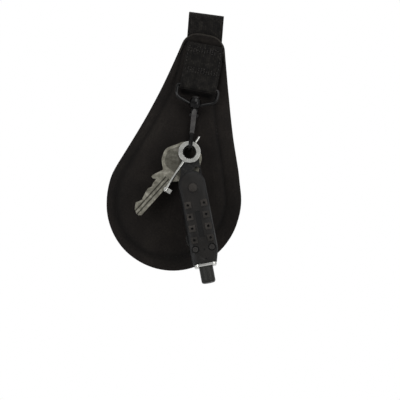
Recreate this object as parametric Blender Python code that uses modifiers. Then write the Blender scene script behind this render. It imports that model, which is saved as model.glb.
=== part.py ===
"""Key holder for a duty belt: a padded backing with a belt loop, and a swivel snap hook with what hangs on it.

Lengths are metres, +Z is up and the front faces -Y. The origin is the centre of the belt slot.
"""

import math

import bmesh
import bpy
from mathutils import Matrix, Vector

# Fits
GAP = 0.0003
OVERRUN = 0.002
WELD = 0.000001

# Webbing and the belt slot behind the pad
WEB_THICK = 0.0014
SLOT_DEPTH = 0.006
BELT_LOOP_WIDTH = 0.0252
BELT_LOOP_SHIFT = 0.0012
BELT_LOOP_LEAN = math.radians(-6.0)
BELT_LOOP_TOP = 0.025
BELT_LOOP_SEAM_LOW = -0.008
BELT_LOOP_BEND_TOP = -0.021
BELT_LOOP_BEND_HEIGHT = 0.011
BELT_LOOP_TAIL = 0.006

# Teardrop pad
PAD_BELOW_SLOT = 0.112
PAD_RADIUS = 0.0475
PAD_SIDE_RADIUS = 0.700
PAD_TOP = 0.1218
PAD_TOP_CORNER = 0.0105
PAD_TOP_CORNER_OUT = 0.0050
PANEL_THICK = 0.0008
CORE_THICK = 0.0024
RIDGE_FOOT_INSET = 0.0092
RIDGE_WIDTH = 0.0032
RIDGE_TOP_LINE = 0.1172
RIDGE_NECK_HALF = 0.0150
RIDGE_CORNER = 0.0058
CORE_MARGIN = 0.0010

# Front strap, folded round the loop's bar
STRAP_WIDTH = 0.0264
STRAP_TOP = 0.0030
STRAP_STEP = 0.0010
STRAP_CLOSE_HEIGHT = 0.009

# Cast loop that the strap holds
BAR_SHIFT = 0.0022
BAR_BELOW_SLOT = 0.027
LOOP_WIRE_RADIUS = 0.0012
LOOP_SIDE_PLAY = 0.0003
LOOP_TOP_CORNER = 0.0022
LOOP_LOW_CORNER = 0.0050
LOOP_CORNER_DROP = 0.0052
LOOP_LOW_SLOPE = math.radians(20.0)
BOSS_RADIUS = 0.0042
BOSS_TOP_RADIUS = 0.0034
BOSS_LOW_RADIUS = 0.0031
BOSS_HEIGHT = 0.0066
BOSS_BAND_HALF = 0.0009
BOSS_BELOW_BAR = 0.0120
CHAIN_LEAN = math.radians(8.0)

# Swivel stud
STUD_RADIUS = 0.0015
STUD_PLAY = 0.0005
STUD_HEAD_RADIUS = 0.0027
STUD_HEAD_THICK = 0.0014
STUD_HEAD_EDGE = 0.0005
STUD_IN_COLLAR = 0.0019
HOOK_LEAN = math.radians(4.0)

# Hook
HOOK_RADIUS = 0.0015
COLLAR_RADIUS = 0.0030
COLLAR_GAP = 0.0006
COLLAR_HEIGHT = 0.0033
COLLAR_EDGE = 0.0005
SHOULDER_DROP = 0.0053
SHOULDER_REACH = 0.0014
SPINE_TOP_OUT = 0.0036
SPINE_TOP_DROP = 0.0088
BEND_DROP = 0.0335
BEND_FLAT = 0.0030
BEND_CORNER = 0.0035
NOSE_TOP_DROP = 0.0222
NOSE_TAPER = 0.0008
NOSE_TIP_SHARE = 0.7

# Gate, its rivet and its spring
PIVOT_OUT = 0.0020
PIVOT_DROP = 0.0090
LUG_RADIUS = 0.0016
LUG_THICK = 0.0008
LUG_SHIFT = 0.0006
GATE_HALF_WIDTH = 0.00175
GATE_END_HALF_WIDTH = 0.0015
GATE_SHEET = 0.00045
GATE_WEB = 0.0008
GATE_LIP = 0.0009
GATE_EAR_RADIUS = 0.0018
GATE_ABOVE = 0.0044
GATE_BELOW = 0.0145
GATE_POINT_HALF = 0.0005
GATE_EAR_BELOW = 0.0035
RIVET_RADIUS = 0.0006
RIVET_HEAD_RADIUS = 0.0013
RIVET_HEAD_THICK = 0.0011
SPRING_WIRE = 0.00015
SPRING_COIL = 0.0012
SPRING_PITCH = 0.0004
SPRING_TURNS = 1.5
SPRING_SHIFT = 0.00055
SPRING_LONG_LEG = 0.0055
SPRING_SHORT_LEG = 0.0018

# Handcuff key
CUFF_TURN = math.radians(21.8)
CUFF_LAYER = -0.0037
CUFF_RING_OUTER = 0.00795
CUFF_RING_INNER = 0.00485
CUFF_RING_THICK = 0.0016
CUFF_RING_EDGE = 0.00025
CUFF_SHAFT_RADIUS = 0.00095
CUFF_SHAFT_REACH = 0.0336
CUFF_SHAFT_EDGE = 0.0002
CUFF_PILOT_RADIUS = 0.00045
CUFF_PILOT_DEPTH = 0.0025
CUFF_SPIGOT_RADIUS = 0.00025
CUFF_SPIGOT_LENGTH = 0.0013
CUFF_PIN_RADIUS = 0.00075
CUFF_PIN_REACH = 0.0133
CUFF_SLEEVE_WALL = 0.0005
CUFF_SLEEVE_HEIGHT = 0.0023
CUFF_BIT_REACH = 0.0043
CUFF_BIT_HEIGHT = 0.0032
CUFF_BIT_THICK = 0.0014
CUFF_BIT_END = 0.0003

# Door key
KEY_TURN = math.radians(31.25)
KEY_LAYER = 0.0025
KEY_THICK = 0.0022
KEY_BLADE_LENGTH = 0.0363
KEY_BLADE_HALF = 0.0041
KEY_BOW_HEIGHT = 0.0283
KEY_BOW_HALF = 0.0147
KEY_HOLE_RADIUS = 0.0047
KEY_HOLE_BELOW_TOP = 0.0071
KEY_RIM = 0.0022
KEY_HOLE_RIM = 0.0016
KEY_RECESS_DEPTH = 0.00035
KEY_RECESS_START = 0.0034
KEY_GROOVE_WIDTH = 0.0010
KEY_GROOVE_DEPTH = 0.0005
KEY_GROOVE_STEP = 0.0026
KEY_REAR_GROOVE_WIDTH = 0.0012
# Along the blade from the tip, and out to the side in blade half-widths
KEY_CUT_SHARES = [
    (0.005, 0.07),
    (0.066, -0.76),
    (0.165, -1.24),
    (0.226, -0.93),
    (0.281, -0.78),
    (0.322, -0.90),
    (0.444, -1.20),
    (0.534, -1.29),
    (0.603, -1.02),
    (0.645, -1.15),
    (0.680, -1.29),
    (0.774, -1.32),
    (0.741, -1.80),
    (0.752, -2.20),
    (0.785, -2.27),
]
KEY_BACK_SHARES = [(0.940, 1.00), (0.040, 1.00), (0.005, 0.63)]
# Up the bow from its root, and out to the side in bow half-widths
KEY_BOW_SHARES = [
    (0.00, 0.43),
    (0.05, 0.52),
    (0.10, 0.66),
    (0.19, 0.83),
    (0.34, 0.965),
    (0.45, 1.00),
    (0.52, 0.965),
    (0.64, 0.845),
    (0.77, 0.715),
    (0.88, 0.60),
    (0.96, 0.36),
    (1.00, 0.00),
]

# Bail of the keyring tool
BAIL_LEAN = math.radians(15.07)
BAIL_LAYER = -0.0018
BAIL_THICK = 0.0016
BAIL_REACH = 0.0270
BAIL_HOLE_RADIUS = 0.0042
BAIL_TOP_RADIUS = 0.0061
BAIL_SIDE_TOP_HALF = 0.0061
BAIL_SIDE_TOP_DROP = 0.0045
BAIL_SHOULDER_HALF = 0.0078
BAIL_SHOULDER_HEIGHT = 0.0098
BAIL_TANG_RADIUS = 0.0050
BAIL_TANG_HEIGHT = 0.0065
BAIL_EYE_RADIUS = 0.0022
BAIL_EYE_OUT = 0.0042
BAIL_EYE_HEIGHT = 0.0142

# Keyring tool
TOOL_TURN = math.radians(20.9)
TOOL_HEAD_RADIUS = 0.0097
TOOL_HEAD_ABOVE = 0.0032
TOOL_HALF_WIDTH = 0.0099
TOOL_WIDEN_DROP = 0.012
TOOL_TAPER_DROP = 0.0455
TOOL_LENGTH = 0.0545
TOOL_TAIL_HALF = 0.0083
TOOL_TAIL_SHIFT = -0.0009
TOOL_FRONT = -0.0124
SHELL_BACK = -0.0007
SHELL_EDGE = 0.0024
COVER_THICK = 0.0014
COVER_EDGE = 0.0005
GRIP_WALL = 0.0020
GRIP_HOLLOW_TOP = 0.0075
GRIP_HOLLOW_LOW = 0.0395
GRIP_PAD_SIZE = 0.0047
GRIP_PAD_RISE = 0.0005
GRIP_PAD_OUT = 0.00585
GRIP_PAD_FIRST = 0.0119
GRIP_PAD_STEP = 0.0085
GRIP_PAD_ROWS = 4
GRIP_PIT_RADIUS = 0.0006
GRIP_PIT_DEPTH = 0.0008
GRIP_PANEL_HALF = 0.0019
GRIP_PANEL_TOP = 0.0170
GRIP_PANEL_LOW = 0.0360
GRIP_PANEL_DEPTH = 0.0003
TAIL_PIT_RADIUS = 0.0007
TAIL_PIT_DEPTH = 0.0004
TAIL_PIT_DROP = 0.0450
TAIL_PIT_STEP = 0.0069

# Fasteners of the tool
HEAD_RIVET_RADIUS = 0.0018
HEAD_RIVET_HEAD = 0.0032
HEAD_RIVET_RISE = 0.0011
HEAD_RIVET_REAR = 0.0026
HEAD_RIVET_REAR_THICK = 0.0005
SCREW_RADIUS = 0.0010
SCREW_HEAD_RADIUS = 0.0025
SCREW_HEAD_THICK = 0.0008
SCREW_SOCKET_RADIUS = 0.0012
SCREW_SOCKET_DEPTH = 0.0005
SCREW_OUT = 0.0060
SCREW_SHIFT = -0.0003
SCREW_DROP = 0.0440
CLIP_TOP_DROP = 0.0328
CLIP_LENGTH = 0.0065
CLIP_SHEET = 0.0010
CLIP_WIDTH = 0.0040
CLIP_LEG = 0.0015

# Sprung nose at the tool's tail
CAP_RADIUS = 0.0050
CAP_SHOWING = 0.0118
CAP_END_FILLET = 0.0016
CAP_TRAVEL = 0.0030
CAP_DEPTH = -0.0063
CAP_BAR_HALF = 0.0062
CAP_BAR_THICK = 0.0015
CAP_BAR_DEEP = 0.0060
CAP_STUB_RADIUS = 0.0019
CAP_STUB_HEIGHT = 0.0015
END_PLATE_WIDTH = 0.0158
END_PLATE_DEPTH = 0.0116
END_PLATE_THICK = 0.0018
END_PLATE_CORNER = 0.0030
END_PLATE_EDGE = 0.0005
NOSE_SPRING_WIRE = 0.0004
NOSE_SPRING_COIL = 0.0027
NOSE_SPRING_BORE = 0.0035
NOSE_SPRING_LENGTH = 0.0110
NOSE_SPRING_TURNS = 5

# Places worked out from the sizes above
PAD_BACK = -(SLOT_DEPTH / 2 + WEB_THICK + GAP)
MARGIN_BACK = PAD_BACK - PANEL_THICK - GAP
PAD_FACE = MARGIN_BACK - CORE_THICK - GAP - PANEL_THICK
BAR_OUT = PAD_FACE - GAP - WEB_THICK - GAP - LOOP_WIRE_RADIUS
HOOK_BEND_OUT = BEND_FLAT + BEND_CORNER
CAP_TOP = TOOL_LENGTH - GAP
END_PLATE_TOP = TOOL_LENGTH + GAP


def start_collection(name):
    collection = bpy.data.collections.new(name)
    bpy.context.scene.collection.children.link(collection)
    return collection


for old in list(bpy.data.objects):
    bpy.data.objects.remove(old)
PARTS = start_collection("key_holder")
CUTTERS = start_collection("cutters")


def make_material(name, colour, roughness, metallic=0.0):
    material = bpy.data.materials.new(name)
    material.use_nodes = True
    shader = material.node_tree.nodes["Principled BSDF"]
    shader.inputs["Base Color"].default_value = (*colour, 1.0)
    shader.inputs["Roughness"].default_value = roughness
    shader.inputs["Metallic"].default_value = metallic
    material.diffuse_color = (*colour, 1.0)
    return material


NYLON = make_material("black_nylon", (0.012, 0.011, 0.010), 0.85)
WEBBING = make_material("black_webbing", (0.020, 0.018, 0.017), 0.75)
FOAM = make_material("foam", (0.050, 0.050, 0.050), 0.95)
BLACK_METAL = make_material("blackened_steel", (0.030, 0.030, 0.032), 0.35, 1.0)
BRIGHT_STEEL = make_material("bright_steel", (0.560, 0.560, 0.550), 0.30, 1.0)
NICKEL = make_material("nickel_silver", (0.450, 0.440, 0.390), 0.35, 1.0)
BLACK_PLASTIC = make_material("black_plastic", (0.020, 0.020, 0.022), 0.55)
SPRING_STEEL = make_material("spring_steel", (0.400, 0.400, 0.400), 0.35, 1.0)


def add_frame(name, parent=None, place=(0, 0, 0), turn=(0, 0, 0)):
    """An empty that carries the pieces of one body, or of one piece that leans."""
    frame = bpy.data.objects.new(name, None)
    PARTS.objects.link(frame)
    frame.parent = parent
    frame.location = place
    frame.rotation_euler = turn
    return frame


def add_object(name, mesh, frame, place=None, material=None):
    """An object in its frame. With no material it is a cutter, or a shape to be joined."""
    obj = bpy.data.objects.new(name, mesh)
    obj.parent = frame
    obj.matrix_basis = place if place is not None else Matrix()
    if material is None:
        CUTTERS.objects.link(obj)
        obj.hide_render = True
        obj.display_type = "WIRE"
    else:
        PARTS.objects.link(obj)
        mesh.materials.append(material)
    return obj


def smooth(mesh, angle=math.radians(35)):
    mesh.shade_smooth()
    mesh.set_sharp_from_angle(angle=angle)


def from_curve(name, curve, frame, place=None, material=None):
    """A mesh object from a curve, with its caps welded on."""
    guide = bpy.data.objects.new(name + "_guide", curve)
    PARTS.objects.link(guide)
    bpy.context.view_layer.update()
    graph = bpy.context.evaluated_depsgraph_get()
    mesh = bpy.data.meshes.new_from_object(guide.evaluated_get(graph))
    bpy.data.objects.remove(guide)
    bpy.data.curves.remove(curve)
    mesh.name = name
    shape = bmesh.new()
    shape.from_mesh(mesh)
    bmesh.ops.remove_doubles(shape, verts=shape.verts, dist=WELD)
    bmesh.ops.recalc_face_normals(shape, faces=shape.faces)
    shape.to_mesh(mesh)
    shape.free()
    smooth(mesh)
    mesh.materials.clear()
    return add_object(name, mesh, frame, place, material)


def add_spline(curve, points, closed, radii=None):
    spline = curve.splines.new("POLY")
    spline.points.add(len(points) - 1)
    for index, point in enumerate(points):
        spline.points[index].co = (*point, 1)
        if radii:
            spline.points[index].radius = radii[index]
    spline.use_cyclic_u = closed


def wire(name, frame, points, radius, closed=False, sides=2, radii=None, material=None):
    """A round wire along points. sides is the bevel's resolution."""
    curve = bpy.data.curves.new(name, "CURVE")
    curve.dimensions = "3D"
    curve.bevel_depth = radius
    curve.bevel_resolution = sides
    curve.use_fill_caps = True
    add_spline(curve, points, closed, radii)
    return from_curve(name, curve, frame, None, material)


FACE_Y = Matrix.Rotation(math.radians(90), 4, "X")
FACE_X = Matrix(((0, 0, 1, 0), (1, 0, 0, 0), (0, 1, 0, 0), (0, 0, 0, 1)))
FACE_Z = Matrix()


def plate(name, frame, outlines, thick, middle=(0, 0, 0), facing=FACE_Y, material=None):
    """A flat plate cut to its outlines, the later ones being holes, with its middle plane at middle.

    An outline's points are (x, z) for a plate that faces Y, (y, z) for one that faces X, and (x, y) for Z.
    """
    curve = bpy.data.curves.new(name, "CURVE")
    curve.dimensions = "2D"
    curve.fill_mode = "BOTH"
    curve.extrude = thick / 2
    for outline in outlines:
        add_spline(curve, [(a, b, 0) for a, b in outline], True)
    return from_curve(name, curve, frame, Matrix.Translation(middle) @ facing, material)


def box(name, frame, low, high, material=None):
    shape = bmesh.new()
    bmesh.ops.create_cube(shape, size=1)
    size = Vector(high) - Vector(low)
    bmesh.ops.scale(shape, vec=size, verts=shape.verts)
    bmesh.ops.translate(shape, vec=(Vector(high) + Vector(low)) / 2, verts=shape.verts)
    mesh = bpy.data.meshes.new(name)
    shape.to_mesh(mesh)
    shape.free()
    return add_object(name, mesh, frame, None, material)


def turned(name, frame, profile, steps=32, place=None, closed=False, material=None):
    """A turned shape: profile holds (radius, height) points down its outer side."""
    shape = bmesh.new()
    points = [shape.verts.new((radius, 0, height)) for radius, height in profile]
    for first, second in zip(points, points[1:]):
        shape.edges.new((first, second))
    if closed:
        shape.edges.new((points[-1], points[0]))
    mesh = bpy.data.meshes.new(name)
    shape.to_mesh(mesh)
    shape.free()
    obj = add_object(name, mesh, frame, place, material)
    screw = obj.modifiers.new("turn", "SCREW")
    screw.axis = "Z"
    screw.steps = steps
    screw.render_steps = steps
    screw.use_merge_vertices = True
    screw.merge_threshold = WELD
    screw.use_smooth_shade = True
    return obj


def rod(name, frame, radius, low, high, steps=24, place=None, material=None):
    """A plain cylinder from low to high along its own Z."""
    profile = [(0, high), (radius, high), (radius, low), (0, low)]
    return turned(name, frame, profile, steps, place, False, material)


def strip(name, frame, path, middle, width, thick, material):
    """Webbing that follows a path of (y, z) points and runs width across in X."""
    shape = bmesh.new()
    points = [shape.verts.new((middle - width / 2, y, z)) for y, z in path]
    edges = [shape.edges.new(pair) for pair in zip(points, points[1:])]
    made = bmesh.ops.extrude_edge_only(shape, edges=edges)["geom"]
    far = [item for item in made if isinstance(item, bmesh.types.BMVert)]
    bmesh.ops.translate(shape, vec=(width, 0, 0), verts=far)
    mesh = bpy.data.meshes.new(name)
    shape.to_mesh(mesh)
    shape.free()
    smooth(mesh)
    obj = add_object(name, mesh, frame, None, material)
    wall = obj.modifiers.new("thickness", "SOLIDIFY")
    wall.thickness = thick
    wall.offset = 0
    wall.use_even_offset = True
    return obj


def loft(name, frame, rings, material):
    """A solid through rings of equal count, each a list of (x, y, z), closed at both ends."""
    shape = bmesh.new()
    loops = [[shape.verts.new(point) for point in ring] for ring in rings]
    count = len(rings[0])
    for lower, upper in zip(loops, loops[1:]):
        for here in range(count):
            after = (here + 1) % count
            shape.faces.new((lower[here], lower[after], upper[after], upper[here]))
    shape.faces.new(loops[0])
    shape.faces.new(loops[-1])
    bmesh.ops.recalc_face_normals(shape, faces=shape.faces)
    mesh = bpy.data.meshes.new(name)
    shape.to_mesh(mesh)
    shape.free()
    smooth(mesh)
    return add_object(name, mesh, frame, None, material)


def combine(obj, tool, operation="DIFFERENCE"):
    change = obj.modifiers.new(tool.name, "BOOLEAN")
    change.operation = operation
    change.solver = "EXACT"
    change.object = tool


def arc(centre, radius, start, end, steps):
    """Points on an arc, from one angle in degrees to another, ends included."""
    angles = [math.radians(start + (end - start) * i / steps) for i in range(steps + 1)]
    return [(centre[0] + radius * math.cos(a), centre[1] + radius * math.sin(a)) for a in angles]


def ease(start, end, steps):
    """Points that leave start and reach end along the second axis, easing across on the first."""
    points = []
    for i in range(steps + 1):
        share = i / steps
        across = (1 - math.cos(math.pi * share)) / 2
        points.append(
            (start[0] + (end[0] - start[0]) * across, start[1] + (end[1] - start[1]) * share)
        )
    return points


def through(points, steps):
    """A smooth curve through points, with steps between each two."""
    padded = [points[0], *points, points[-1]]
    curve = []
    for before, start, end, after in zip(padded, padded[1:], padded[2:], padded[3:]):
        for i in range(steps):
            t = i / steps
            curve.append(
                tuple(
                    start[k]
                    + (end[k] - before[k]) * t / 2
                    + (before[k] - start[k] * 5 / 2 + end[k] * 2 - after[k] / 2) * t * t
                    + (after[k] - end[k] * 3 + start[k] * 3 - before[k]) * t**3 / 2
                    for k in (0, 1)
                )
            )
    return curve + [points[-1]]


def circle(centre, radius, steps=24):
    return arc(centre, radius, 0, 360 - 360 / steps, steps - 1)


def mirrored(half):
    """A whole outline from its right half, which runs from the bottom to the top."""
    return half + [(-x, z) for x, z in reversed(half) if x > WELD]


def pad_side_centre():
    """Centre of the pad's hollow side: it touches the round bottom and the top corner."""
    corner = Vector((PAD_TOP_CORNER_OUT, PAD_TOP - PAD_TOP_CORNER))
    to_bottom = PAD_SIDE_RADIUS + PAD_RADIUS
    to_corner = PAD_SIDE_RADIUS + PAD_TOP_CORNER
    along = (to_bottom**2 - to_corner**2 + corner.length_squared) / (2 * corner.length)
    across = math.sqrt(to_bottom**2 - along**2)
    up = corner.normalized()
    return up * along + Vector((up.y, -up.x)) * across


def pad_outline(inset, neck_half=0.0, top=None, corner=None):
    """The teardrop at this inset from the pad's edge, its neck kept at least neck_half wide each side."""
    centre = pad_side_centre()
    bottom_radius = PAD_RADIUS - inset
    side_radius = PAD_SIDE_RADIUS + inset
    top = PAD_TOP if top is None else top
    corner = PAD_TOP_CORNER if corner is None else corner
    corner_z = top - corner
    meet = math.degrees(math.atan2(centre.y, centre.x))
    if neck_half:
        lean = 0.0
        corner_x = neck_half - corner
    else:
        lean = math.asin((centre.y - corner_z) / (side_radius + corner))
        corner_x = centre.x - (side_radius + corner) * math.cos(lean)
    half = arc((0, 0), bottom_radius, -90, meet, 14)
    side_low = half[-1][1]
    side_high = corner_z + corner * math.sin(lean)
    for i in range(1, 8):
        z = side_low + (side_high - side_low) * i / 8
        x = centre.x - math.sqrt(side_radius**2 - (centre.y - z) ** 2)
        half.append((max(x, neck_half), z))
    half += arc((corner_x, corner_z), corner, math.degrees(lean), 90, 5)
    return mirrored(half)


def at_depth(outline, y):
    """A ring from an outline of pad points, placed in the world."""
    return [(x, y, z - PAD_BELOW_SLOT) for x, z in outline]


def build_pad(frame):
    edge = pad_outline(0)
    foot = pad_outline(RIDGE_FOOT_INSET, RIDGE_NECK_HALF, RIDGE_TOP_LINE, RIDGE_CORNER)
    top = pad_outline(
        RIDGE_FOOT_INSET + RIDGE_WIDTH,
        RIDGE_NECK_HALF - RIDGE_WIDTH,
        RIDGE_TOP_LINE - RIDGE_WIDTH,
        RIDGE_CORNER - RIDGE_WIDTH / 2,
    )
    margin_face = MARGIN_BACK - PANEL_THICK
    rings = [
        at_depth(top, PAD_FACE + PANEL_THICK),
        at_depth(foot, MARGIN_BACK),
        at_depth(edge, MARGIN_BACK),
        at_depth(edge, margin_face),
        at_depth(foot, margin_face),
        at_depth(top, PAD_FACE),
    ]
    loft("pad_front_panel", frame, rings, NYLON)
    core_inset = RIDGE_FOOT_INSET + RIDGE_WIDTH + CORE_MARGIN
    core = pad_outline(
        core_inset,
        RIDGE_NECK_HALF - RIDGE_WIDTH - CORE_MARGIN,
        RIDGE_TOP_LINE - RIDGE_WIDTH - CORE_MARGIN,
        RIDGE_CORNER - RIDGE_WIDTH / 2,
    )
    core_middle = (0, MARGIN_BACK - CORE_THICK / 2, -PAD_BELOW_SLOT)
    plate("pad_core", frame, [core], CORE_THICK, core_middle, FACE_Y, FOAM)
    back_middle = (0, PAD_BACK - PANEL_THICK / 2, -PAD_BELOW_SLOT)
    plate("pad_back_panel", frame, [edge], PANEL_THICK, back_middle, FACE_Y, NYLON)


def build_belt_loop(frame):
    """Up behind the pad's top edge, over the belt, down its back and forward to the pad again."""
    reach = (SLOT_DEPTH + WEB_THICK) / 2
    over = BELT_LOOP_TOP - WEB_THICK / 2 - reach
    bend_low = BELT_LOOP_BEND_TOP - BELT_LOOP_BEND_HEIGHT
    path = [(-reach, BELT_LOOP_SEAM_LOW)]
    path += arc((0, over), reach, 180, 0, 10)
    path += ease((reach, BELT_LOOP_BEND_TOP), (-reach, bend_low), 8)
    path += [(-reach, bend_low - BELT_LOOP_TAIL)]
    lean = add_frame("belt_loop_lean", frame, (0, 0, 0), (0, BELT_LOOP_LEAN, 0))
    strip("belt_loop", lean, path, BELT_LOOP_SHIFT, BELT_LOOP_WIDTH, WEB_THICK, WEBBING)


def build_hook_strap(frame):
    """Down the pad's face, round the loop's bar and up again, both layers sewn above the bar."""
    fold = LOOP_WIRE_RADIUS + GAP + WEB_THICK / 2
    closed = PAD_FACE - 2 * GAP - 3 * WEB_THICK / 2
    path = [(BAR_OUT + fold, STRAP_TOP - STRAP_STEP)]
    path += arc((BAR_OUT, -BAR_BELOW_SLOT), fold, 0, -180, 12)
    path += ease(path[-1], (closed, STRAP_CLOSE_HEIGHT - BAR_BELOW_SLOT), 6)[1:]
    path += [(closed, STRAP_TOP)]
    strip("hook_strap", frame, path, BAR_SHIFT, STRAP_WIDTH, WEB_THICK, WEBBING)


def build_swivel_loop(frame):
    """A rounded loop: its top bar lies in the strap, its lower bar slopes down to the swivel boss."""
    half = STRAP_WIDTH / 2 + LOOP_SIDE_PLAY + LOOP_WIRE_RADIUS
    outline = arc((half - LOOP_TOP_CORNER, -LOOP_TOP_CORNER), LOOP_TOP_CORNER, 90, 0, 4)
    low_x = half - LOOP_LOW_CORNER
    turned_by = 90 - math.degrees(LOOP_LOW_SLOPE)
    outline += arc((low_x, -LOOP_CORNER_DROP), LOOP_LOW_CORNER, 0, -turned_by, 6)
    last_x, last_z = outline[-1]
    outline += [(0, last_z - last_x * math.tan(LOOP_LOW_SLOPE))]
    outline += arc((-low_x, -LOOP_CORNER_DROP), LOOP_LOW_CORNER, turned_by - 180, -180, 6)
    outline += arc((LOOP_TOP_CORNER - half, -LOOP_TOP_CORNER), LOOP_TOP_CORNER, 180, 90, 4)
    points = [(x, 0, z) for x, z in outline]
    loop = wire("d_loop", frame, points, LOOP_WIRE_RADIUS, closed=True, sides=3, material=BLACK_METAL)
    centre = Matrix.Translation((0, 0, -BOSS_BELOW_BAR))
    top = BOSS_HEIGHT / 2
    profile = [
        (0, top),
        (BOSS_TOP_RADIUS, top),
        (BOSS_RADIUS, BOSS_BAND_HALF),
        (BOSS_RADIUS, -BOSS_BAND_HALF),
        (BOSS_LOW_RADIUS, -top),
        (0, -top),
    ]
    combine(loop, turned("boss", frame, profile, 28, centre), "UNION")
    bore = rod("boss_bore", frame, STUD_RADIUS + STUD_PLAY, -BOSS_HEIGHT, BOSS_HEIGHT, 24, centre)
    combine(loop, bore)


def build_stud(frame):
    under = BOSS_HEIGHT / 2 + STUD_PLAY
    top = under + STUD_HEAD_THICK
    end = -(BOSS_HEIGHT / 2 + COLLAR_GAP + STUD_IN_COLLAR)
    profile = [
        (0, top),
        (STUD_HEAD_RADIUS - STUD_HEAD_EDGE, top),
        (STUD_HEAD_RADIUS, top - STUD_HEAD_EDGE),
        (STUD_HEAD_RADIUS, under),
        (STUD_RADIUS, under),
        (STUD_RADIUS, end),
        (0, end),
    ]
    turned("swivel_stud", frame, profile, 24, None, False, BLACK_METAL)


def hook_path():
    """The hook's centreline as (y, z): shoulder, spine against the pad, bend and nose."""
    bend_z = -BEND_DROP
    corner_z = bend_z + BEND_CORNER
    turn = SPINE_TOP_OUT - SHOULDER_REACH / 2
    path = [(-SHOULDER_REACH, -SHOULDER_DROP)]
    shoulder = arc((SPINE_TOP_OUT - turn, -SHOULDER_DROP - turn), turn, 90, 10, 5)
    path += shoulder
    path += [(SPINE_TOP_OUT, -SPINE_TOP_DROP)]
    path += arc((BEND_FLAT, corner_z), BEND_CORNER, 0, -90, 6)
    path += arc((-BEND_FLAT, corner_z), BEND_CORNER, -90, -180, 6)
    nose = -HOOK_BEND_OUT
    path += [(nose, -NOSE_TOP_DROP - NOSE_TAPER), (nose, -NOSE_TOP_DROP)]
    return path


def build_hook(frame):
    path = hook_path()
    radii = [1.0] * (len(path) - 1) + [NOSE_TIP_SHARE]
    points = [(0, y, z) for y, z in path]
    hook = wire("hook_body", frame, points, HOOK_RADIUS, sides=4, radii=radii, material=BLACK_METAL)
    collar_top = -(BOSS_HEIGHT / 2 + COLLAR_GAP)
    collar_low = collar_top - COLLAR_HEIGHT
    profile = [
        (0, collar_top),
        (COLLAR_RADIUS - COLLAR_EDGE, collar_top),
        (COLLAR_RADIUS, collar_top - COLLAR_EDGE),
        (COLLAR_RADIUS, collar_low + COLLAR_EDGE),
        (COLLAR_RADIUS - COLLAR_EDGE, collar_low),
        (0, collar_low),
    ]
    combine(hook, turned("collar", frame, profile, 28), "UNION")
    pivot = (-PIVOT_OUT, -PIVOT_DROP)
    lug_top = -SHOULDER_DROP
    outline = [(pivot[0] - LUG_RADIUS, lug_top)]
    outline += arc(pivot, LUG_RADIUS, 180, 360, 12)
    outline += [(pivot[0] + LUG_RADIUS, lug_top)]
    lug = plate("lug", frame, [outline], LUG_THICK, (-LUG_SHIFT, 0, 0), FACE_X)
    combine(hook, lug, "UNION")
    socket_end = collar_top - STUD_IN_COLLAR - GAP
    combine(hook, rod("stud_socket", frame, STUD_RADIUS + GAP, socket_end, 0))
    across = Matrix.Translation((0, *pivot)) @ FACE_X
    combine(hook, rod("lug_bore", frame, RIVET_RADIUS + GAP, -COLLAR_RADIUS, COLLAR_RADIUS, 20, across))


def build_gate_pin(frame):
    """A cross rivet with a domed head outside each ear of the gate."""
    inner = GATE_HALF_WIDTH + GAP
    outer = inner + RIVET_HEAD_THICK
    rim = RIVET_HEAD_THICK / 3
    profile = [
        (0, outer),
        (RIVET_HEAD_RADIUS / 2, outer),
        (RIVET_HEAD_RADIUS, outer - 2 * rim),
        (RIVET_HEAD_RADIUS, inner),
        (RIVET_RADIUS, inner),
        (RIVET_RADIUS, -inner),
        (RIVET_HEAD_RADIUS, -inner),
        (RIVET_HEAD_RADIUS, 2 * rim - outer),
        (RIVET_HEAD_RADIUS / 2, -outer),
        (0, -outer),
    ]
    across = Matrix.Translation((0, -PIVOT_OUT, -PIVOT_DROP)) @ FACE_X
    turned("gate_pin", frame, profile, 20, across, False, BLACK_METAL)


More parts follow.
